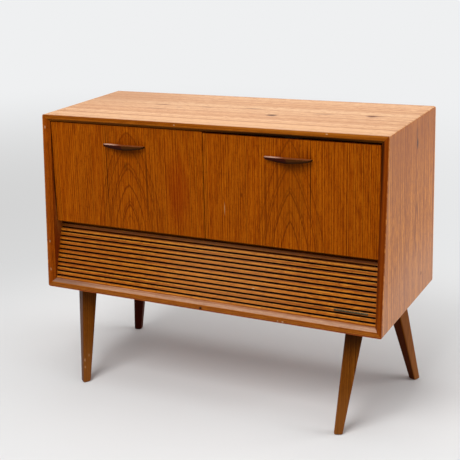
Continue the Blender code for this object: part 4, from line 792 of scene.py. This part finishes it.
def skin(rings, closed=True):
    """Skin a row of equal rings; closed caps the first and the last."""
    bm = bmesh.new()
    made = [[bm.verts.new(p) for p in ring] for ring in rings]
    for a, b in zip(made, made[1:]):
        for i in range(len(a)):
            j = (i + 1) % len(a)
            bm.faces.new((a[i], a[j], b[j], b[i]))
    if closed:
        bm.faces.new(made[0])
        bm.faces.new(made[-1])
    return bm


print("mesh helpers ready")

# %% [markdown]
# ## Loudspeaker cloth
# Behind the slats a black cotton cloth is stretched over the baffle and held under the three battens. It is
# one thin sheet that gives a little between the battens.

# %% Stretched cloth
CLOTH_LOW, CLOTH_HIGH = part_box("speaker_cloth")
CLOTH_T, CLOTH_GIVE = 0.0005, 0.0002        # thickness, and how far it sinks between battens
CLOTH_COLUMNS, CLOTH_ROWS = 40, 8
cloth_wide = CLOTH_HIGH.x - CLOTH_LOW.x
cloth_long = (CLOTH_HIGH.z - CLOTH_LOW.z) / GRILLE_UP.z - 2 * CLOTH_T
cloth_foot = Vector((CLOTH_LOW.x, CLOTH_LOW.y, CLOTH_LOW.z + CLOTH_T))
rings = []
for i in range(CLOTH_COLUMNS + 1):
    across = i / CLOTH_COLUMNS
    give = CLOTH_GIVE * abs(math.sin(2 * math.pi * across))
    foot = cloth_foot + Vector((cloth_wide * across, 0.0, 0.0))
    front = []
    for j in range(CLOTH_ROWS + 1):
        sunk = give * math.sin(math.pi * j / CLOTH_ROWS)
        front.append(foot + GRILLE_UP * (cloth_long * j / CLOTH_ROWS) - GRILLE_OUT * sunk)
    rings.append(front + [p - GRILLE_OUT * CLOTH_T for p in reversed(front)])
stretched = piece("stretched_speaker_cloth", skin(rings), cloth, "case")
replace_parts(stretched, "speaker_cloth")

# %% [markdown]
# ## Lippings
# The front edges of the boards are covered with solid teak: a flat strip that
# leans with the front, and a chamfer that leads the eye in to the flaps. The
# strips meet in mitres, so each profile point simply runs to the mitre line.

# %% Profile of a lipping
CASE_LOW, CASE_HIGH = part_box("left_side_panel")[0].z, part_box("top_panel")[1].z
CASE_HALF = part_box("top_panel")[1].x
FRONT_TOP_Y = -0.14599
FRONT_SLOPE = 0.0487 / 0.464        # metres forward for each metre down
PANEL_T, BOTTOM_T = 0.018, 0.020
LIPPING_PROUD = 0.0003
VENEER_EDGE = 0.0003                # the veneer shows this much at the outer edge


def front_y(z):
    """Depth of the leaning front at a height."""
    return FRONT_TOP_Y - FRONT_SLOPE * (CASE_HIGH - z)


def lipping_profile(thick, strip, chamfer):
    """(inset, depth) points of a lipping: outer arris, flat strip, eased corner, chamfer, hidden back."""
    fall = chamfer / (thick - strip)
    return [(VENEER_EDGE, 0.002), (VENEER_EDGE, 0.0), (VENEER_EDGE + 0.0006, -LIPPING_PROUD),
            (strip - 0.0008, -LIPPING_PROUD), (strip + 0.0002, 0.0),
            (strip + 0.001, 0.001 * fall - LIPPING_PROUD), (thick - 0.0002, chamfer - LIPPING_PROUD),
            (thick - 0.0002, chamfer + 0.002)]


upper_profile = lipping_profile(PANEL_T, strip=0.010, chamfer=0.008)
foot_profile = lipping_profile(BOTTOM_T, strip=0.0115, chamfer=0.0105)
print("profiles of", len(upper_profile), "points")

# %% [markdown]
# The uprights and the top strip have one profile. The bottom one is a little
# thicker, so at the lower corners the mitre isn't at 45 degrees, and the insets
# there are scaled by the two thicknesses.


# %% Four lippings
def mitre(profile, sign, top, upright):
    """A profile on the mitre line of one corner, for an upright or for a strip across the front."""
    ring = []
    for inset, depth in profile:
        run = rise = inset
        if not top and upright:
            rise = inset * BOTTOM_T / PANEL_T
        elif not top:
            run = inset * PANEL_T / BOTTOM_T
        z = CASE_HIGH - rise if top else CASE_LOW + rise
        ring.append((sign * (CASE_HALF - run), front_y(z) + depth, z))
    return ring


for sign, label in ((-1, "left"), (1, "right")):
    ends = [mitre(upper_profile, sign, top, upright=True) for top in (False, True)]
    piece("lipping_" + label, skin(ends), stile_teak, "case")
for label, profile, finish in (("top", upper_profile, rail_teak), ("bottom", foot_profile, foot_rail_teak)):
    ends = [mitre(profile, sign, label == "top", upright=False) for sign in (-1, 1)]
    piece("lipping_" + label, skin(ends), finish, "case")

# %% [markdown]
# The chamfer of the bottom lipping faces up, so it has caught light and dust for decades and is paler than
# the rest, and a painted sheen of the light from above makes it paler still. It is a strip of its own, laid
# over the chamfer, with the same mitred ends.

# %% Pale bevel above the bottom lipping
BEVEL_PROFILE = ((0.0124, 0.0005), (0.0123, 0.0001), (0.0196, 0.0093), (0.0197, 0.0102))
ends = [mitre(BEVEL_PROFILE, sign, top=False, upright=False) for sign in (-1, 1)]
piece("lipping_bottom_bevel", skin(ends), bevel_teak, "case")

# %% [markdown]
# ## Handles
# Each handle is a carved bar of rosewood with a flat top. Seen from above it
# comes to a point in the middle, so two facets meet on a ridge; underneath it
# is hollowed for the fingertips. Rings of one cross-section, scaled along the
# bar, give that shape with a crisp ridge.

# %% Handles
AXIS_Y, AXIS_Z = -0.13665, 0.44569          # hinge axis of both flaps
LEAN = math.radians(2.915)
FLAP_OUT = Vector((0.0, -math.cos(LEAN), math.sin(LEAN)))
FLAP_UP = Vector((0.0, math.sin(LEAN), math.cos(LEAN)))
FLAP_T, FLAP_MID_X = 0.016, 0.2281
HANDLE_HALF, HANDLE_TOP, HANDLE_STEPS = 0.0605, 0.2209, 12
HANDLE_REACH, RIDGE_REACH, END_EASE = 0.012, 0.005, 0.004
HANDLE_DEEP, BELLY_DEEP = 0.0045, 0.0078    # at the ends, and how much more in the middle
HANDLE_OFF = 0.0003                         # a hair's breadth off the veneer


def on_flap(out, up, x):
    """Point at a distance out of the flap's inner face and up from the hinge."""
    return Vector((x, AXIS_Y, AXIS_Z)) + FLAP_OUT * out + FLAP_UP * up


for middle, label in zip(HANDLE_MIDS, ("left", "right")):
    rings = []
    for step in range(-HANDLE_STEPS, HANDLE_STEPS + 1):
        share = step / HANDLE_STEPS
        reach = HANDLE_REACH + RIDGE_REACH * (1 - abs(share)) - (END_EASE if abs(share) == 1 else 0.0)
        deep = HANDLE_DEEP + BELLY_DEEP * (1 - share * share)
        x = middle + share * HANDLE_HALF
        section = ((0.0, 0.0), (reach - 0.0010, 0.0), (reach - 0.0003, -0.0003), (reach, -0.0010),
                   (reach - deep * 0.16, -deep * 0.55), (reach - deep * 0.34, -deep * 0.90),
                   (reach - deep * 0.46, -deep), (reach * 0.5, -deep * 0.84), (reach * 0.3, -deep * 0.82),
                   (0.0, -deep * 0.95))
        rings.append([on_flap(FLAP_T + HANDLE_OFF + n, HANDLE_TOP + u, x) for n, u in section])
    grip = piece(label + "_carved_handle", skin(rings), rosewood, label + "_flap",
                 sharp=5.0)
    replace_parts(grip, label + "_handle")

# %% [markdown]
# ## Small hardware
# Slotted screws hold the hinges, the back and the deck. A head is a thin disc
# with two half-moons on it, and the channel between them is the slot, turned
# to a different angle in each screw as a hand leaves them.

# %% Screw heads
rng = random.Random(7)
MOON_SIDES, DISC_SIDES = 10, 20
SLOT_HALF = 0.16            # of the radius
MOON_RINGS = ((1.0, 0.00005), (1.0, 0.0003), (0.8, 0.0006))     # (share of the radius, height)
DISC_SHARE, DISC_FACES = 0.98, (0.00002, 0.00015)


def merge(bm, extra):
    """Add one bmesh to another."""
    held = bpy.data.meshes.new("held")
    extra.to_mesh(held)
    extra.free()
    bm.from_mesh(held)
    bpy.data.meshes.remove(held)


def around(side, other, count):
    """Unit vectors at even steps round a circle, from side towards other."""
    angles = [2 * math.pi * k / count for k in range(count)]
    return [side * math.cos(a) + other * math.sin(a) for a in angles]


def screw(bm, centre, facing, radius):
    """Add one slotted head that looks along facing."""
    centre, facing = Vector(centre), Vector(facing).normalized()
    turn = Matrix.Rotation(rng.uniform(0.0, math.pi), 3, facing)
    side = turn @ facing.orthogonal().normalized()
    other = facing.cross(side)
    gap = math.asin(SLOT_HALF)
    moon = [gap + (math.pi - 2 * gap) * k / MOON_SIDES for k in range(MOON_SIDES + 1)]
    for way in (-1, 1):
        rings = []
        for share, rise in MOON_RINGS:
            rings.append([centre + side * (radius * share * math.cos(a))
                          + other * (way * radius * max(SLOT_HALF, share * math.sin(a))) + facing * rise
                          for a in moon])
        merge(bm, skin(rings))
    rim = [out * radius * DISC_SHARE for out in around(side, other, DISC_SIDES)]
    merge(bm, skin([[centre + out + facing * rise for out in rim] for rise in DISC_FACES]))


def screws(name, places, facing, radius, mat, body):
    """One piece that holds a row of screw heads."""
    bm = bmesh.new()
    for place in places:
        screw(bm, place, facing, radius)
    return piece(name, bm, mat, body)


print("screw heads ready")

# %% [markdown]
# Six screws go down through each fixed hinge leaf into the board below it, and
# four go through the moving leaf into the flap.

# %% Hinge screws
HINGE_SCREWS = (-0.15, -0.09, -0.03, 0.03, 0.09, 0.15)
HINGE_SCREW_Y = -0.1205
LEAF_SCREWS = (-0.075, -0.025, 0.025, 0.075)
LEAF_SCREW_UP = 0.009
HINGE_SCREW_R, LEAF_SCREW_R = 0.0032, 0.0028
LEAF_BACK = -0.0015         # inner side of the moving leaf, out of the flap's inner face
for sign, label in ((-1, "left"), (1, "right")):
    mid = sign * FLAP_MID_X
    fixed = [(mid + shift, HINGE_SCREW_Y, AXIS_Z) for shift in HINGE_SCREWS]
    moving = [on_flap(LEAF_BACK, LEAF_SCREW_UP, mid + shift) for shift in LEAF_SCREWS]
    screws(label + "_hinge_screws", fixed, (0, 0, 1), HINGE_SCREW_R, brass, "case")
    screws(label + "_leaf_screws", moving, -FLAP_OUT, LEAF_SCREW_R, brass, label + "_flap")

# %% [markdown]
# The hardboard back is held by steel screws on brass cup washers, at an even
# pitch along all four edges. One turned profile makes the washer, and the screw
# head from before sits in it.

# %% Back screws
BACK_LOW, BACK_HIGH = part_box("back_panel")
BACK_FACE = BACK_HIGH.y
EDGE = 0.012                # from the edge of the back to the screws
BACK_SCREW_R = 0.0036
BACK_STEPS, SIDE_STEPS = 6, 3
CUP_WASHER = ((0.0, 0.0001), (0.0062, 0.0001), (0.0060, 0.0008), (0.0042, 0.0013), (0.0, 0.0013))


def turned(profile, centre, axis, count=24):
    """Turn (radius, height) points round an axis; a radius of 0 closes the end."""
    axis = Vector(axis).normalized()
    side = axis.orthogonal().normalized()
    ways = around(side, axis.cross(side), count)
    bm = bmesh.new()
    rings = []
    for radius, height in profile:
        middle = Vector(centre) + axis * height
        points = [middle + out * radius for out in ways] if radius else [middle]
        rings.append([bm.verts.new(point) for point in points])
    for a, b in zip(rings, rings[1:]):
        for k in range(count):
            j = (k + 1) % count
            corners = [a[k % len(a)], a[j % len(a)], b[j % len(b)], b[k % len(b)]]
            corners = [v for i, v in enumerate(corners) if v not in corners[:i]]
            if len(corners) > 2:
                bm.faces.new(corners)
    return bm


places = []
for k in range(BACK_STEPS + 1):
    x = BACK_LOW.x + EDGE + (BACK_HIGH.x - BACK_LOW.x - 2 * EDGE) * k / BACK_STEPS
    places += [(x, BACK_FACE, BACK_LOW.z + EDGE), (x, BACK_FACE, BACK_HIGH.z - EDGE)]
for k in range(1, SIDE_STEPS):
    z = BACK_LOW.z + (BACK_HIGH.z - BACK_LOW.z) * k / SIDE_STEPS
    places += [(BACK_LOW.x + EDGE, BACK_FACE, z), (BACK_HIGH.x - EDGE, BACK_FACE, z)]
washers = bmesh.new()
for place in places:
    merge(washers, turned(CUP_WASHER, place, (0, 1, 0)))
piece("back_cup_washers", washers, brass, "case")
heads = [(x, y + CUP_WASHER[-1][1], z) for x, y, z in places]
screws("back_screws", heads, (0, 1, 0), BACK_SCREW_R, steel, "case")

# %% [markdown]
# Each flap is held shut by a magnetic catch under the top, and by a thin steel
# plate on the inner face of the flap, where the magnet meets it. The catch is a
# moulded box with three raised pads, and the plate has one rivet.

# %% Catches
CEILING = 0.716
CATCH_FRONT, CATCH_HALF, CATCH_DEEP, CATCH_TALL = -0.1210, 0.022, 0.016, 0.0125
CATCH_OFF = 0.0002          # a hair's breadth below the top
PADS, PAD_HALF = (-0.012, 0.0, 0.012), 0.004
PAD_PROUD, PAD_SUNK = 0.0006, 0.002         # in front of the catch, and into it
PAD_LOW, PAD_HIGH = 0.011, 0.002            # below the top
STRIKE_UP, STRIKE_FACES = 0.2585, (-0.00002, -0.0006)
STRIKE_CORNERS = ((-0.02, -0.006), (0.02, -0.006), (0.02, 0.004), (-0.02, 0.004))
RIVET = ((0.0, 0.0006), (0.0022, 0.0006), (0.0016, 0.0009), (0.0, 0.0009))


def eased_box(low, high, ease):
    """Box with softened edges."""
    bm = bmesh.new()
    bmesh.ops.create_cube(bm, size=1.0)
    size = Vector(high) - Vector(low)
    bmesh.ops.scale(bm, vec=size, verts=bm.verts[:])
    bmesh.ops.translate(bm, vec=(Vector(high) + Vector(low)) / 2, verts=bm.verts[:])
    bmesh.ops.bevel(bm, geom=bm.edges[:], offset=ease, segments=3, profile=0.5, affect="EDGES")
    return bm


for sign, label in ((-1, "left"), (1, "right")):
    mid = sign * FLAP_MID_X
    body = eased_box((mid - CATCH_HALF, CATCH_FRONT, CEILING - CATCH_TALL),
                     (mid + CATCH_HALF, CATCH_FRONT + CATCH_DEEP, CEILING - CATCH_OFF), 0.0012)
    for shift in PADS:
        merge(body, eased_box((mid + shift - PAD_HALF, CATCH_FRONT - PAD_PROUD, CEILING - PAD_LOW),
                              (mid + shift + PAD_HALF, CATCH_FRONT + PAD_SUNK, CEILING - PAD_HIGH), 0.0003))
    piece(label + "_catch", body, phenolic, "case")
    strike = skin([[on_flap(out, STRIKE_UP + v, mid + u) for u, v in STRIKE_CORNERS] for out in STRIKE_FACES])
    bmesh.ops.bevel(strike, geom=strike.edges[:], offset=0.0002, segments=2, affect="EDGES")
    merge(strike, turned(RIVET, on_flap(0.0, STRIKE_UP - 0.001, mid - 0.014), -FLAP_OUT, 16))
    piece(label + "_catch_plate", strike, steel, label + "_flap")

# %% [markdown]
# At the lower right of the grille a narrow strip of darkened brass lies on the
# slats. It is a flat bar with softened edges and narrowed ends, so four rings
# along its length are enough.

# %% Strip on the grille
STRIP_MID, STRIP_HALF = 0.3915, 0.0425
STRIP_FOOT = Vector((0.0, -0.18139, 0.29)) + GRILLE_UP * 0.02790
strip = []
for share, half in ((-1.0, 0.0018), (-0.96, 0.0024), (0.96, 0.0024), (1.0, 0.0018)):
    foot = STRIP_FOOT + Vector((STRIP_MID + share * STRIP_HALF, 0.0, 0.0))
    section = ((-half, 0.00005), (half, 0.00005), (half, 0.0007), (half * 0.7, 0.0011), (-half * 0.7, 0.0011),
               (-half, 0.0007))
    strip.append([foot + GRILLE_UP * u + GRILLE_OUT * n for u, n in section])
piece("bare_name_strip", skin(strip), old_brass, "case")

# %% [markdown]
# ## The record deck
# The turntable mat is moulded rubber with rings of ribs, so that air can leave
# when a record drops. It is turned from one profile, in which a loop sets rib
# after rib, because ribs in a bump map would vanish at the edge.

# %% Turntable mat
PLATTER_X, PLATTER_Y, PLATTER_R = -0.26192, 0.04133, 0.12808
MAT_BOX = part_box("platter_mat")
MAT_LOW, MAT_HIGH = MAT_BOX[0].z, MAT_BOX[1].z
MAT_R = (MAT_BOX[1].x - MAT_BOX[0].x) / 2
MAT_HOLE, MAT_EASE, LABEL_R, RIB_PITCH = 0.0042, 0.001, 0.05, 0.004
GROOVE = ((0.0, 0.0), (0.0006, 0.0010), (0.0020, 0.0010), (0.0026, 0.0))    # (inset, depth) between two ribs
DISH = ((LABEL_R, 0.0006), (0.019, 0.0006), (0.0182, 0.0013), (0.0050, 0.0013),
        (MAT_HOLE, 0.0016))                 # (radius, depth) under the label of a record
profile = [(MAT_HOLE, MAT_LOW), (MAT_R, MAT_LOW), (MAT_R, MAT_HIGH - MAT_EASE), (MAT_R - MAT_EASE, MAT_HIGH)]
r = MAT_R - RIB_PITCH
while r > LABEL_R:
    profile += [(r - inset, MAT_HIGH - depth) for inset, depth in GROOVE]
    r -= RIB_PITCH
profile += [(radius, MAT_HIGH - depth) for radius, depth in DISH] + [(MAT_HOLE, MAT_LOW)]
ribbed = piece("ribbed_mat", turned(profile, (PLATTER_X, PLATTER_Y, 0.0), (0, 0, 1), 96), rubber, "platter")
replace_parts(ribbed, "platter_mat")

# %% [markdown]
# The rim of the platter has a row of raised, enamelled dots. They seem to stand
# still under a lamp when the speed is right.

# %% Dots on the rim
DOT_COUNT, DOT_Z, DOT_SUNK = 72, 0.5148, 0.0003
DOT = ((0.0, 0.0), (0.0018, 0.0), (0.0018, 0.0004), (0.0013, 0.0007), (0.0, 0.0007))
dots = bmesh.new()
for out in around(Vector((1, 0, 0)), Vector((0, 1, 0)), DOT_COUNT):
    foot = Vector((PLATTER_X, PLATTER_Y, DOT_Z)) + out * (PLATTER_R - DOT_SUNK)
    merge(dots, turned(DOT, foot, out, 8))
piece("platter_rim_dots", dots, enamel, "platter")

# %% [markdown]
# The speed is set with a small fluted knob of ivory plastic. Flutes are cut into
# the rings of a turned shape, deepest at half height, and a raised bar on top
# is the pointer.


# %% Speed knob
FLUTE = (0.0, 0.5, 1.0, 0.5)    # share of the depth at the four points of one flute


def fluted(stations, centre, axis, side, count):
    """Knob with flutes: stations are (radius, height, flute depth)."""
    axis, side = Vector(axis), Vector(side)
    ways = around(side, axis.cross(side), count * len(FLUTE))
    rings = []
    for radius, height, depth in stations:
        middle = Vector(centre) + axis * height
        rings.append([middle + out * (radius - depth * share) for out, share in zip(ways, FLUTE * count)])
    return skin(rings)


SPEED_X, SPEED_Y = -0.405, -0.07004
SPEED_LOW, SPEED_HIGH = (corner.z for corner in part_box("speed_knob"))
SPEED_KNOB = ((0.0128, 0.0, 0.0), (0.0130, 0.0006, 0.0), (0.0130, 0.0022, 0.0), (0.0108, 0.0036, 0.0),
              (0.0106, 0.0044, 0.0012), (0.0100, 0.0130, 0.0012), (0.0090, 0.0148, 0.0005),
              (0.0070, 0.0157, 0.0), (0.0020, 0.0157, 0.0))
knob = fluted(SPEED_KNOB, (SPEED_X, SPEED_Y, SPEED_LOW), (0, 0, 1), (1, 0, 0), 16)
merge(knob, eased_box((SPEED_X - 0.0008, SPEED_Y + 0.0022, SPEED_HIGH - 0.0006),
                      (SPEED_X + 0.0008, SPEED_Y + 0.0085, SPEED_HIGH - 0.00005), 0.0001))
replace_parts(piece("fluted_speed_knob", knob, ivory, "speed_knob"), "speed_knob")

# %% [markdown]
# The four speeds are printed round the knob. Figures are Blender text turned into a thin mesh, so they ride
# like any other piece.


# %% Speed figures
def lettering(bm, words, height, centre, right, up, thick=0.00008):
    """Add flat figures that stand on a face and read along right."""
    font = bpy.data.curves.new("figures", "FONT")
    font.body, font.size, font.extrude = words, height, thick / 2
    font.align_x, font.align_y = "CENTER", "CENTER"
    font.resolution_u = 3
    holder = bpy.data.objects.new("figures", font)
    flat = bpy.data.meshes.new_from_object(holder)
    bpy.data.objects.remove(holder)
    right, up = Vector(right), Vector(up)
    turn = Matrix((right, up, right.cross(up))).transposed().to_4x4()
    flat.transform(Matrix.Translation(centre) @ turn)
    bm.from_mesh(flat)
    bpy.data.meshes.remove(flat)
    bpy.data.curves.remove(font)


DECK_LOW, DECK_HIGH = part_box("deck_plinth")
DECK_TOP = DECK_HIGH.z
FIGURE_R, FIGURE_TALL = 0.0205, 0.0062
figures = bmesh.new()
for words, degrees in (("16", 60), ("33", 20), ("45", -20), ("78", -60)):
    angle = math.radians(90 + degrees)
    spot = Vector((SPEED_X + FIGURE_R * math.cos(angle), SPEED_Y + FIGURE_R * math.sin(angle),
                   DECK_TOP + 0.00006))
    lettering(figures, words, FIGURE_TALL, spot, (1, 0, 0), (0, 1, 0))
piece("speed_figures", figures, dark_ink, "case")

# %% [markdown]
# The pick-up arm gets a bent wire to lift it by, and turned rings round its
# counterweight. The wire is a circle carried along five points, square to the
# way at each.

# %% Pick-up arm fittings
ARM_X, ARM_Z = -0.066, 0.5473
WIRE_R, WIRE_SIDES = 0.0009, 12
LIFT = [Vector(point) for point in (
    (-0.0600, -0.0900, 0.5500), (-0.0545, -0.0905, 0.5500), (-0.0500, -0.0912, 0.5508),
    (-0.0460, -0.0925, 0.5530), (-0.0435, -0.0935, 0.5560))]
RINGS_Y = (0.1535, 0.1575, 0.1615, 0.1655)
WEIGHT_RING = ((0.0109, -0.0008), (0.0113, -0.0006), (0.0113, 0.0006), (0.0109, 0.0008), (0.0109, -0.0008))
rings = []
for k, point in enumerate(LIFT):
    ahead = (LIFT[min(k + 1, len(LIFT) - 1)] - LIFT[max(k - 1, 0)]).normalized()
    wide = ahead.cross(Vector((0, 0, 1))).normalized()
    tall = wide.cross(ahead)
    rings.append([point + out * WIRE_R for out in around(wide, tall, WIRE_SIDES)])
wire = skin(rings)
for y in RINGS_Y:
    merge(wire, turned(WEIGHT_RING, (ARM_X, y, ARM_Z), (0, 1, 0), 32))
piece("arm_lift_wire", wire, steel, "pickup_arm")

# %% [markdown]
# A brass line is let into the deck round its edge, and a screw holds each
# corner. The line is one section taken round the four corners, so that its
# mitres come by themselves. The frame of the dial is made the same way later.


# %% Deck line and screws
def corners_of(low, high):
    """The corners of a rectangle as (place, place, sign, sign), and the first once more; signs point out."""
    return [(low[0], low[1], -1, -1), (high[0], low[1], 1, -1), (high[0], high[1], 1, 1),
            (low[0], high[1], -1, 1), (low[0], low[1], -1, -1)]


DECK_LINE = ((0.0050, 0.00003), (0.0050, 0.0002), (0.0051, 0.0003), (0.0061, 0.0003), (0.0062, 0.0002),
             (0.0062, 0.00003))       # (inset from the edge, height) of its section
SCREW_INSET, DECK_SCREW_R = 0.014, 0.0030
path = corners_of((DECK_LOW.x, DECK_LOW.y), (DECK_HIGH.x, DECK_HIGH.y))
line = skin([[(x - sx * inset, y - sy * inset, DECK_TOP + rise) for inset, rise in DECK_LINE]
             for x, y, sx, sy in path], closed=False)
piece("deck_brass_line", line, brass, "case")
corners = [(x, y, DECK_TOP) for x in (DECK_LOW.x + SCREW_INSET, DECK_HIGH.x - SCREW_INSET)
           for y in (DECK_LOW.y + SCREW_INSET, DECK_HIGH.y - SCREW_INSET)]
screws("deck_screws", corners, (0, 0, 1), DECK_SCREW_R, steel, "case")

# %% [markdown]
# ## The receiver
# The dial is a black plate behind clear acrylic, with four scales printed in
# cream on the back of the acrylic. They are thin solids, not a texture, so they
# stay sharp close up and keep their place behind the sheet.

# %% Dial plate and scales
GLASS_LOW, GLASS_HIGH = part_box("dial_glass")
CHASSIS_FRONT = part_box("receiver_chassis")[0].y
PLATE_GROW = 0.002
plate = eased_box((GLASS_LOW.x - PLATE_GROW, CHASSIS_FRONT - 0.0002, GLASS_LOW.z - PLATE_GROW),
                  (GLASS_HIGH.x + PLATE_GROW, CHASSIS_FRONT - 0.00004, GLASS_HIGH.z + PLATE_GROW), 0.00005)
piece("dial_plate", plate, dial_black, "case")

INK_T, INK_EASE = 0.0001, 0.00002
INK_FRONT = GLASS_HIGH.y + 0.00005
INK_BACK = INK_FRONT + INK_T
SCALE_START, SCALE_END = 0.0623, 0.4018
SCALE_ROWS = (0.6680, 0.6510, 0.6340, 0.6170)
SCALE_STEPS, STEPS_A_FIGURE = 28, 4
LINE_HALF, TICK_HALF, TICK_SHORT, TICK_LONG = 0.0003, 0.0002, 0.0022, 0.0040
FIGURE_RISE = 0.0078        # from a line to the middle of its figures
FIGURES = ("54 6 7 8 10 12 14 16", "15 18 20 22 25 28 30 35", "6 7 8 9 10 12 15 18",
           "88 90 92 94 96 98 100 104")
scale = bmesh.new()
for z, row in zip(SCALE_ROWS, FIGURES):
    merge(scale, eased_box((SCALE_START, INK_FRONT, z - LINE_HALF), (SCALE_END, INK_BACK, z + LINE_HALF),
                           INK_EASE))
    for k in range(SCALE_STEPS + 1):
        x = SCALE_START + (SCALE_END - SCALE_START) * k / SCALE_STEPS
        tall = TICK_SHORT if k % STEPS_A_FIGURE else TICK_LONG
        merge(scale, eased_box((x - TICK_HALF, INK_FRONT, z), (x + TICK_HALF, INK_BACK, z + tall), INK_EASE))
    for k, words in enumerate(row.split()):
        x = SCALE_START + (SCALE_END - SCALE_START) * k * STEPS_A_FIGURE / SCALE_STEPS
        spot = (x, (INK_FRONT + INK_BACK) / 2, z + FIGURE_RISE)
        lettering(scale, words, FIGURE_TALL, spot, (1, 0, 0), (0, 0, 1))
piece("dial_scales", scale, cream_ink, "case")

# %% [markdown]
# A thin brass frame, rounded on its face, covers the gap between the acrylic and
# the fascia.

# %% Frame of the dial
FASCIA_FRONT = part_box("receiver_fascia")[0].y
DIAL_FRAME = ((0.0006, 0.00005), (0.0006, 0.0009), (0.0012, 0.0014), (0.0032, 0.0014), (0.0040, 0.0009),
              (0.0040, 0.00005))      # (outset from the window, height) of its section
path = corners_of((GLASS_LOW.x, GLASS_LOW.z), (GLASS_HIGH.x, GLASS_HIGH.z))
trim = skin([[(x + sx * grow, FASCIA_FRONT - rise, z + sz * grow) for grow, rise in DIAL_FRAME]
             for x, z, sx, sz in path], closed=False)
piece("dial_brass_frame", trim, brass, "case")

# %% [markdown]
# The two large knobs are ivory plastic with flutes for the fingers, a dished
# brass cap and a dark mark. A brass ring lies on the fascia round each. The cap
# and the mark turn with the knob, and the ring stays on the case.

# %% Tuning and volume knobs
KNOB_Z = 0.535
KNOBS = (("volume_knob", 0.0863), ("tuning_knob", 0.3787))
KNOB_BODY = ((0.003, -0.0069, 0.0), (0.003, 0.0006, 0.0), (0.0205, 0.0006, 0.0), (0.0229, 0.0013, 0.0),
             (0.0230, 0.0040, 0.0), (0.0216, 0.0054, 0.0), (0.0210, 0.0064, 0.0012), (0.0204, 0.0186, 0.0012),
             (0.0190, 0.0207, 0.0006), (0.0168, 0.0216, 0.0), (0.0150, 0.0216, 0.0), (0.0147, 0.0206, 0.0))
KNOB_CAP = ((0.0, 0.0205), (0.0145, 0.0205), (0.0145, 0.0209), (0.0132, 0.0213), (0.0060, 0.0209),
            (0.0, 0.0208))
KNOB_RING = ((0.0250, 0.00005), (0.0282, 0.00005), (0.0282, 0.0006), (0.0272, 0.0011), (0.0258, 0.0011),
             (0.0250, 0.0006), (0.0250, 0.00005))
OUT = (0, -1, 0)
for name, x in KNOBS:
    hub = (x, FASCIA_FRONT, KNOB_Z)
    body = fluted(KNOB_BODY, hub, OUT, (1, 0, 0), 28)
    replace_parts(piece("fluted_" + name, body, ivory, name), name)
    piece(name + "_cap", turned(KNOB_CAP, hub, OUT, 48), brass, name)
    mark = eased_box((x - 0.0006, FASCIA_FRONT - 0.0217, KNOB_Z + 0.0155),
                     (x + 0.0006, FASCIA_FRONT - 0.0212, KNOB_Z + 0.0188), 0.0001)
    piece(name + "_mark", mark, dark_ink, name)
    piece(name + "_ring", turned(KNOB_RING, hub, OUT, 64), brass, "case")

# %% [markdown]
# Round the volume knob a scale from 0 to 10 is printed on the fascia, a tick and
# a figure for every 30 degrees.

# %% Volume scale
TICK = ((0.0300, -0.0003), (0.0300, 0.0003), (0.0330, 0.0003), (0.0330, -0.0003))
TICK_OFF, VOLUME_R, VOLUME_TALL = 0.00004, 0.0375, 0.0052
VOLUME_ZERO, VOLUME_STEP = 240, 30          # degrees
ticks = bmesh.new()
for k in range(11):
    angle = math.radians(VOLUME_ZERO - VOLUME_STEP * k)
    out = Vector((math.cos(angle), 0.0, math.sin(angle)))
    across = Vector((-out.z, 0.0, out.x))
    foot = Vector((KNOBS[0][1], FASCIA_FRONT - TICK_OFF, KNOB_Z))
    merge(ticks, skin([[foot + out * r + across * w + Vector((0, -rise, 0)) for r, w in TICK]
                       for rise in (0.0, INK_T)]))
    spot = foot + out * VOLUME_R - Vector((0, INK_T / 2, 0))
    lettering(ticks, str(k), VOLUME_TALL, spot, (1, 0, 0), (0, 0, 1))
piece("volume_figures", ticks, cream_ink, "case")

# %% [markdown]
# The push buttons are told apart by one, two or three printed bars, which move
# with the button.

# %% Push buttons
BAR_PITCH, BAR_HALF, BAR_INSET = 0.0018, 0.0004, 0.008
BAR_PROUD, BAR_SUNK = 0.0001, 0.0003
for k, name in enumerate(buttons, 1):
    low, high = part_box(name)
    bars = bmesh.new()
    for z in (-BAR_PITCH, 0.0, BAR_PITCH)[:k]:
        mid = (low.z + high.z) / 2 + z - BAR_PITCH / 2 * (k - 2)
        merge(bars, eased_box((low.x + BAR_INSET, low.y - BAR_PROUD, mid - BAR_HALF),
                              (high.x - BAR_INSET, low.y + BAR_SUNK, mid + BAR_HALF), 0.00005))
    piece(name + "_mark", bars, dark_ink, name)
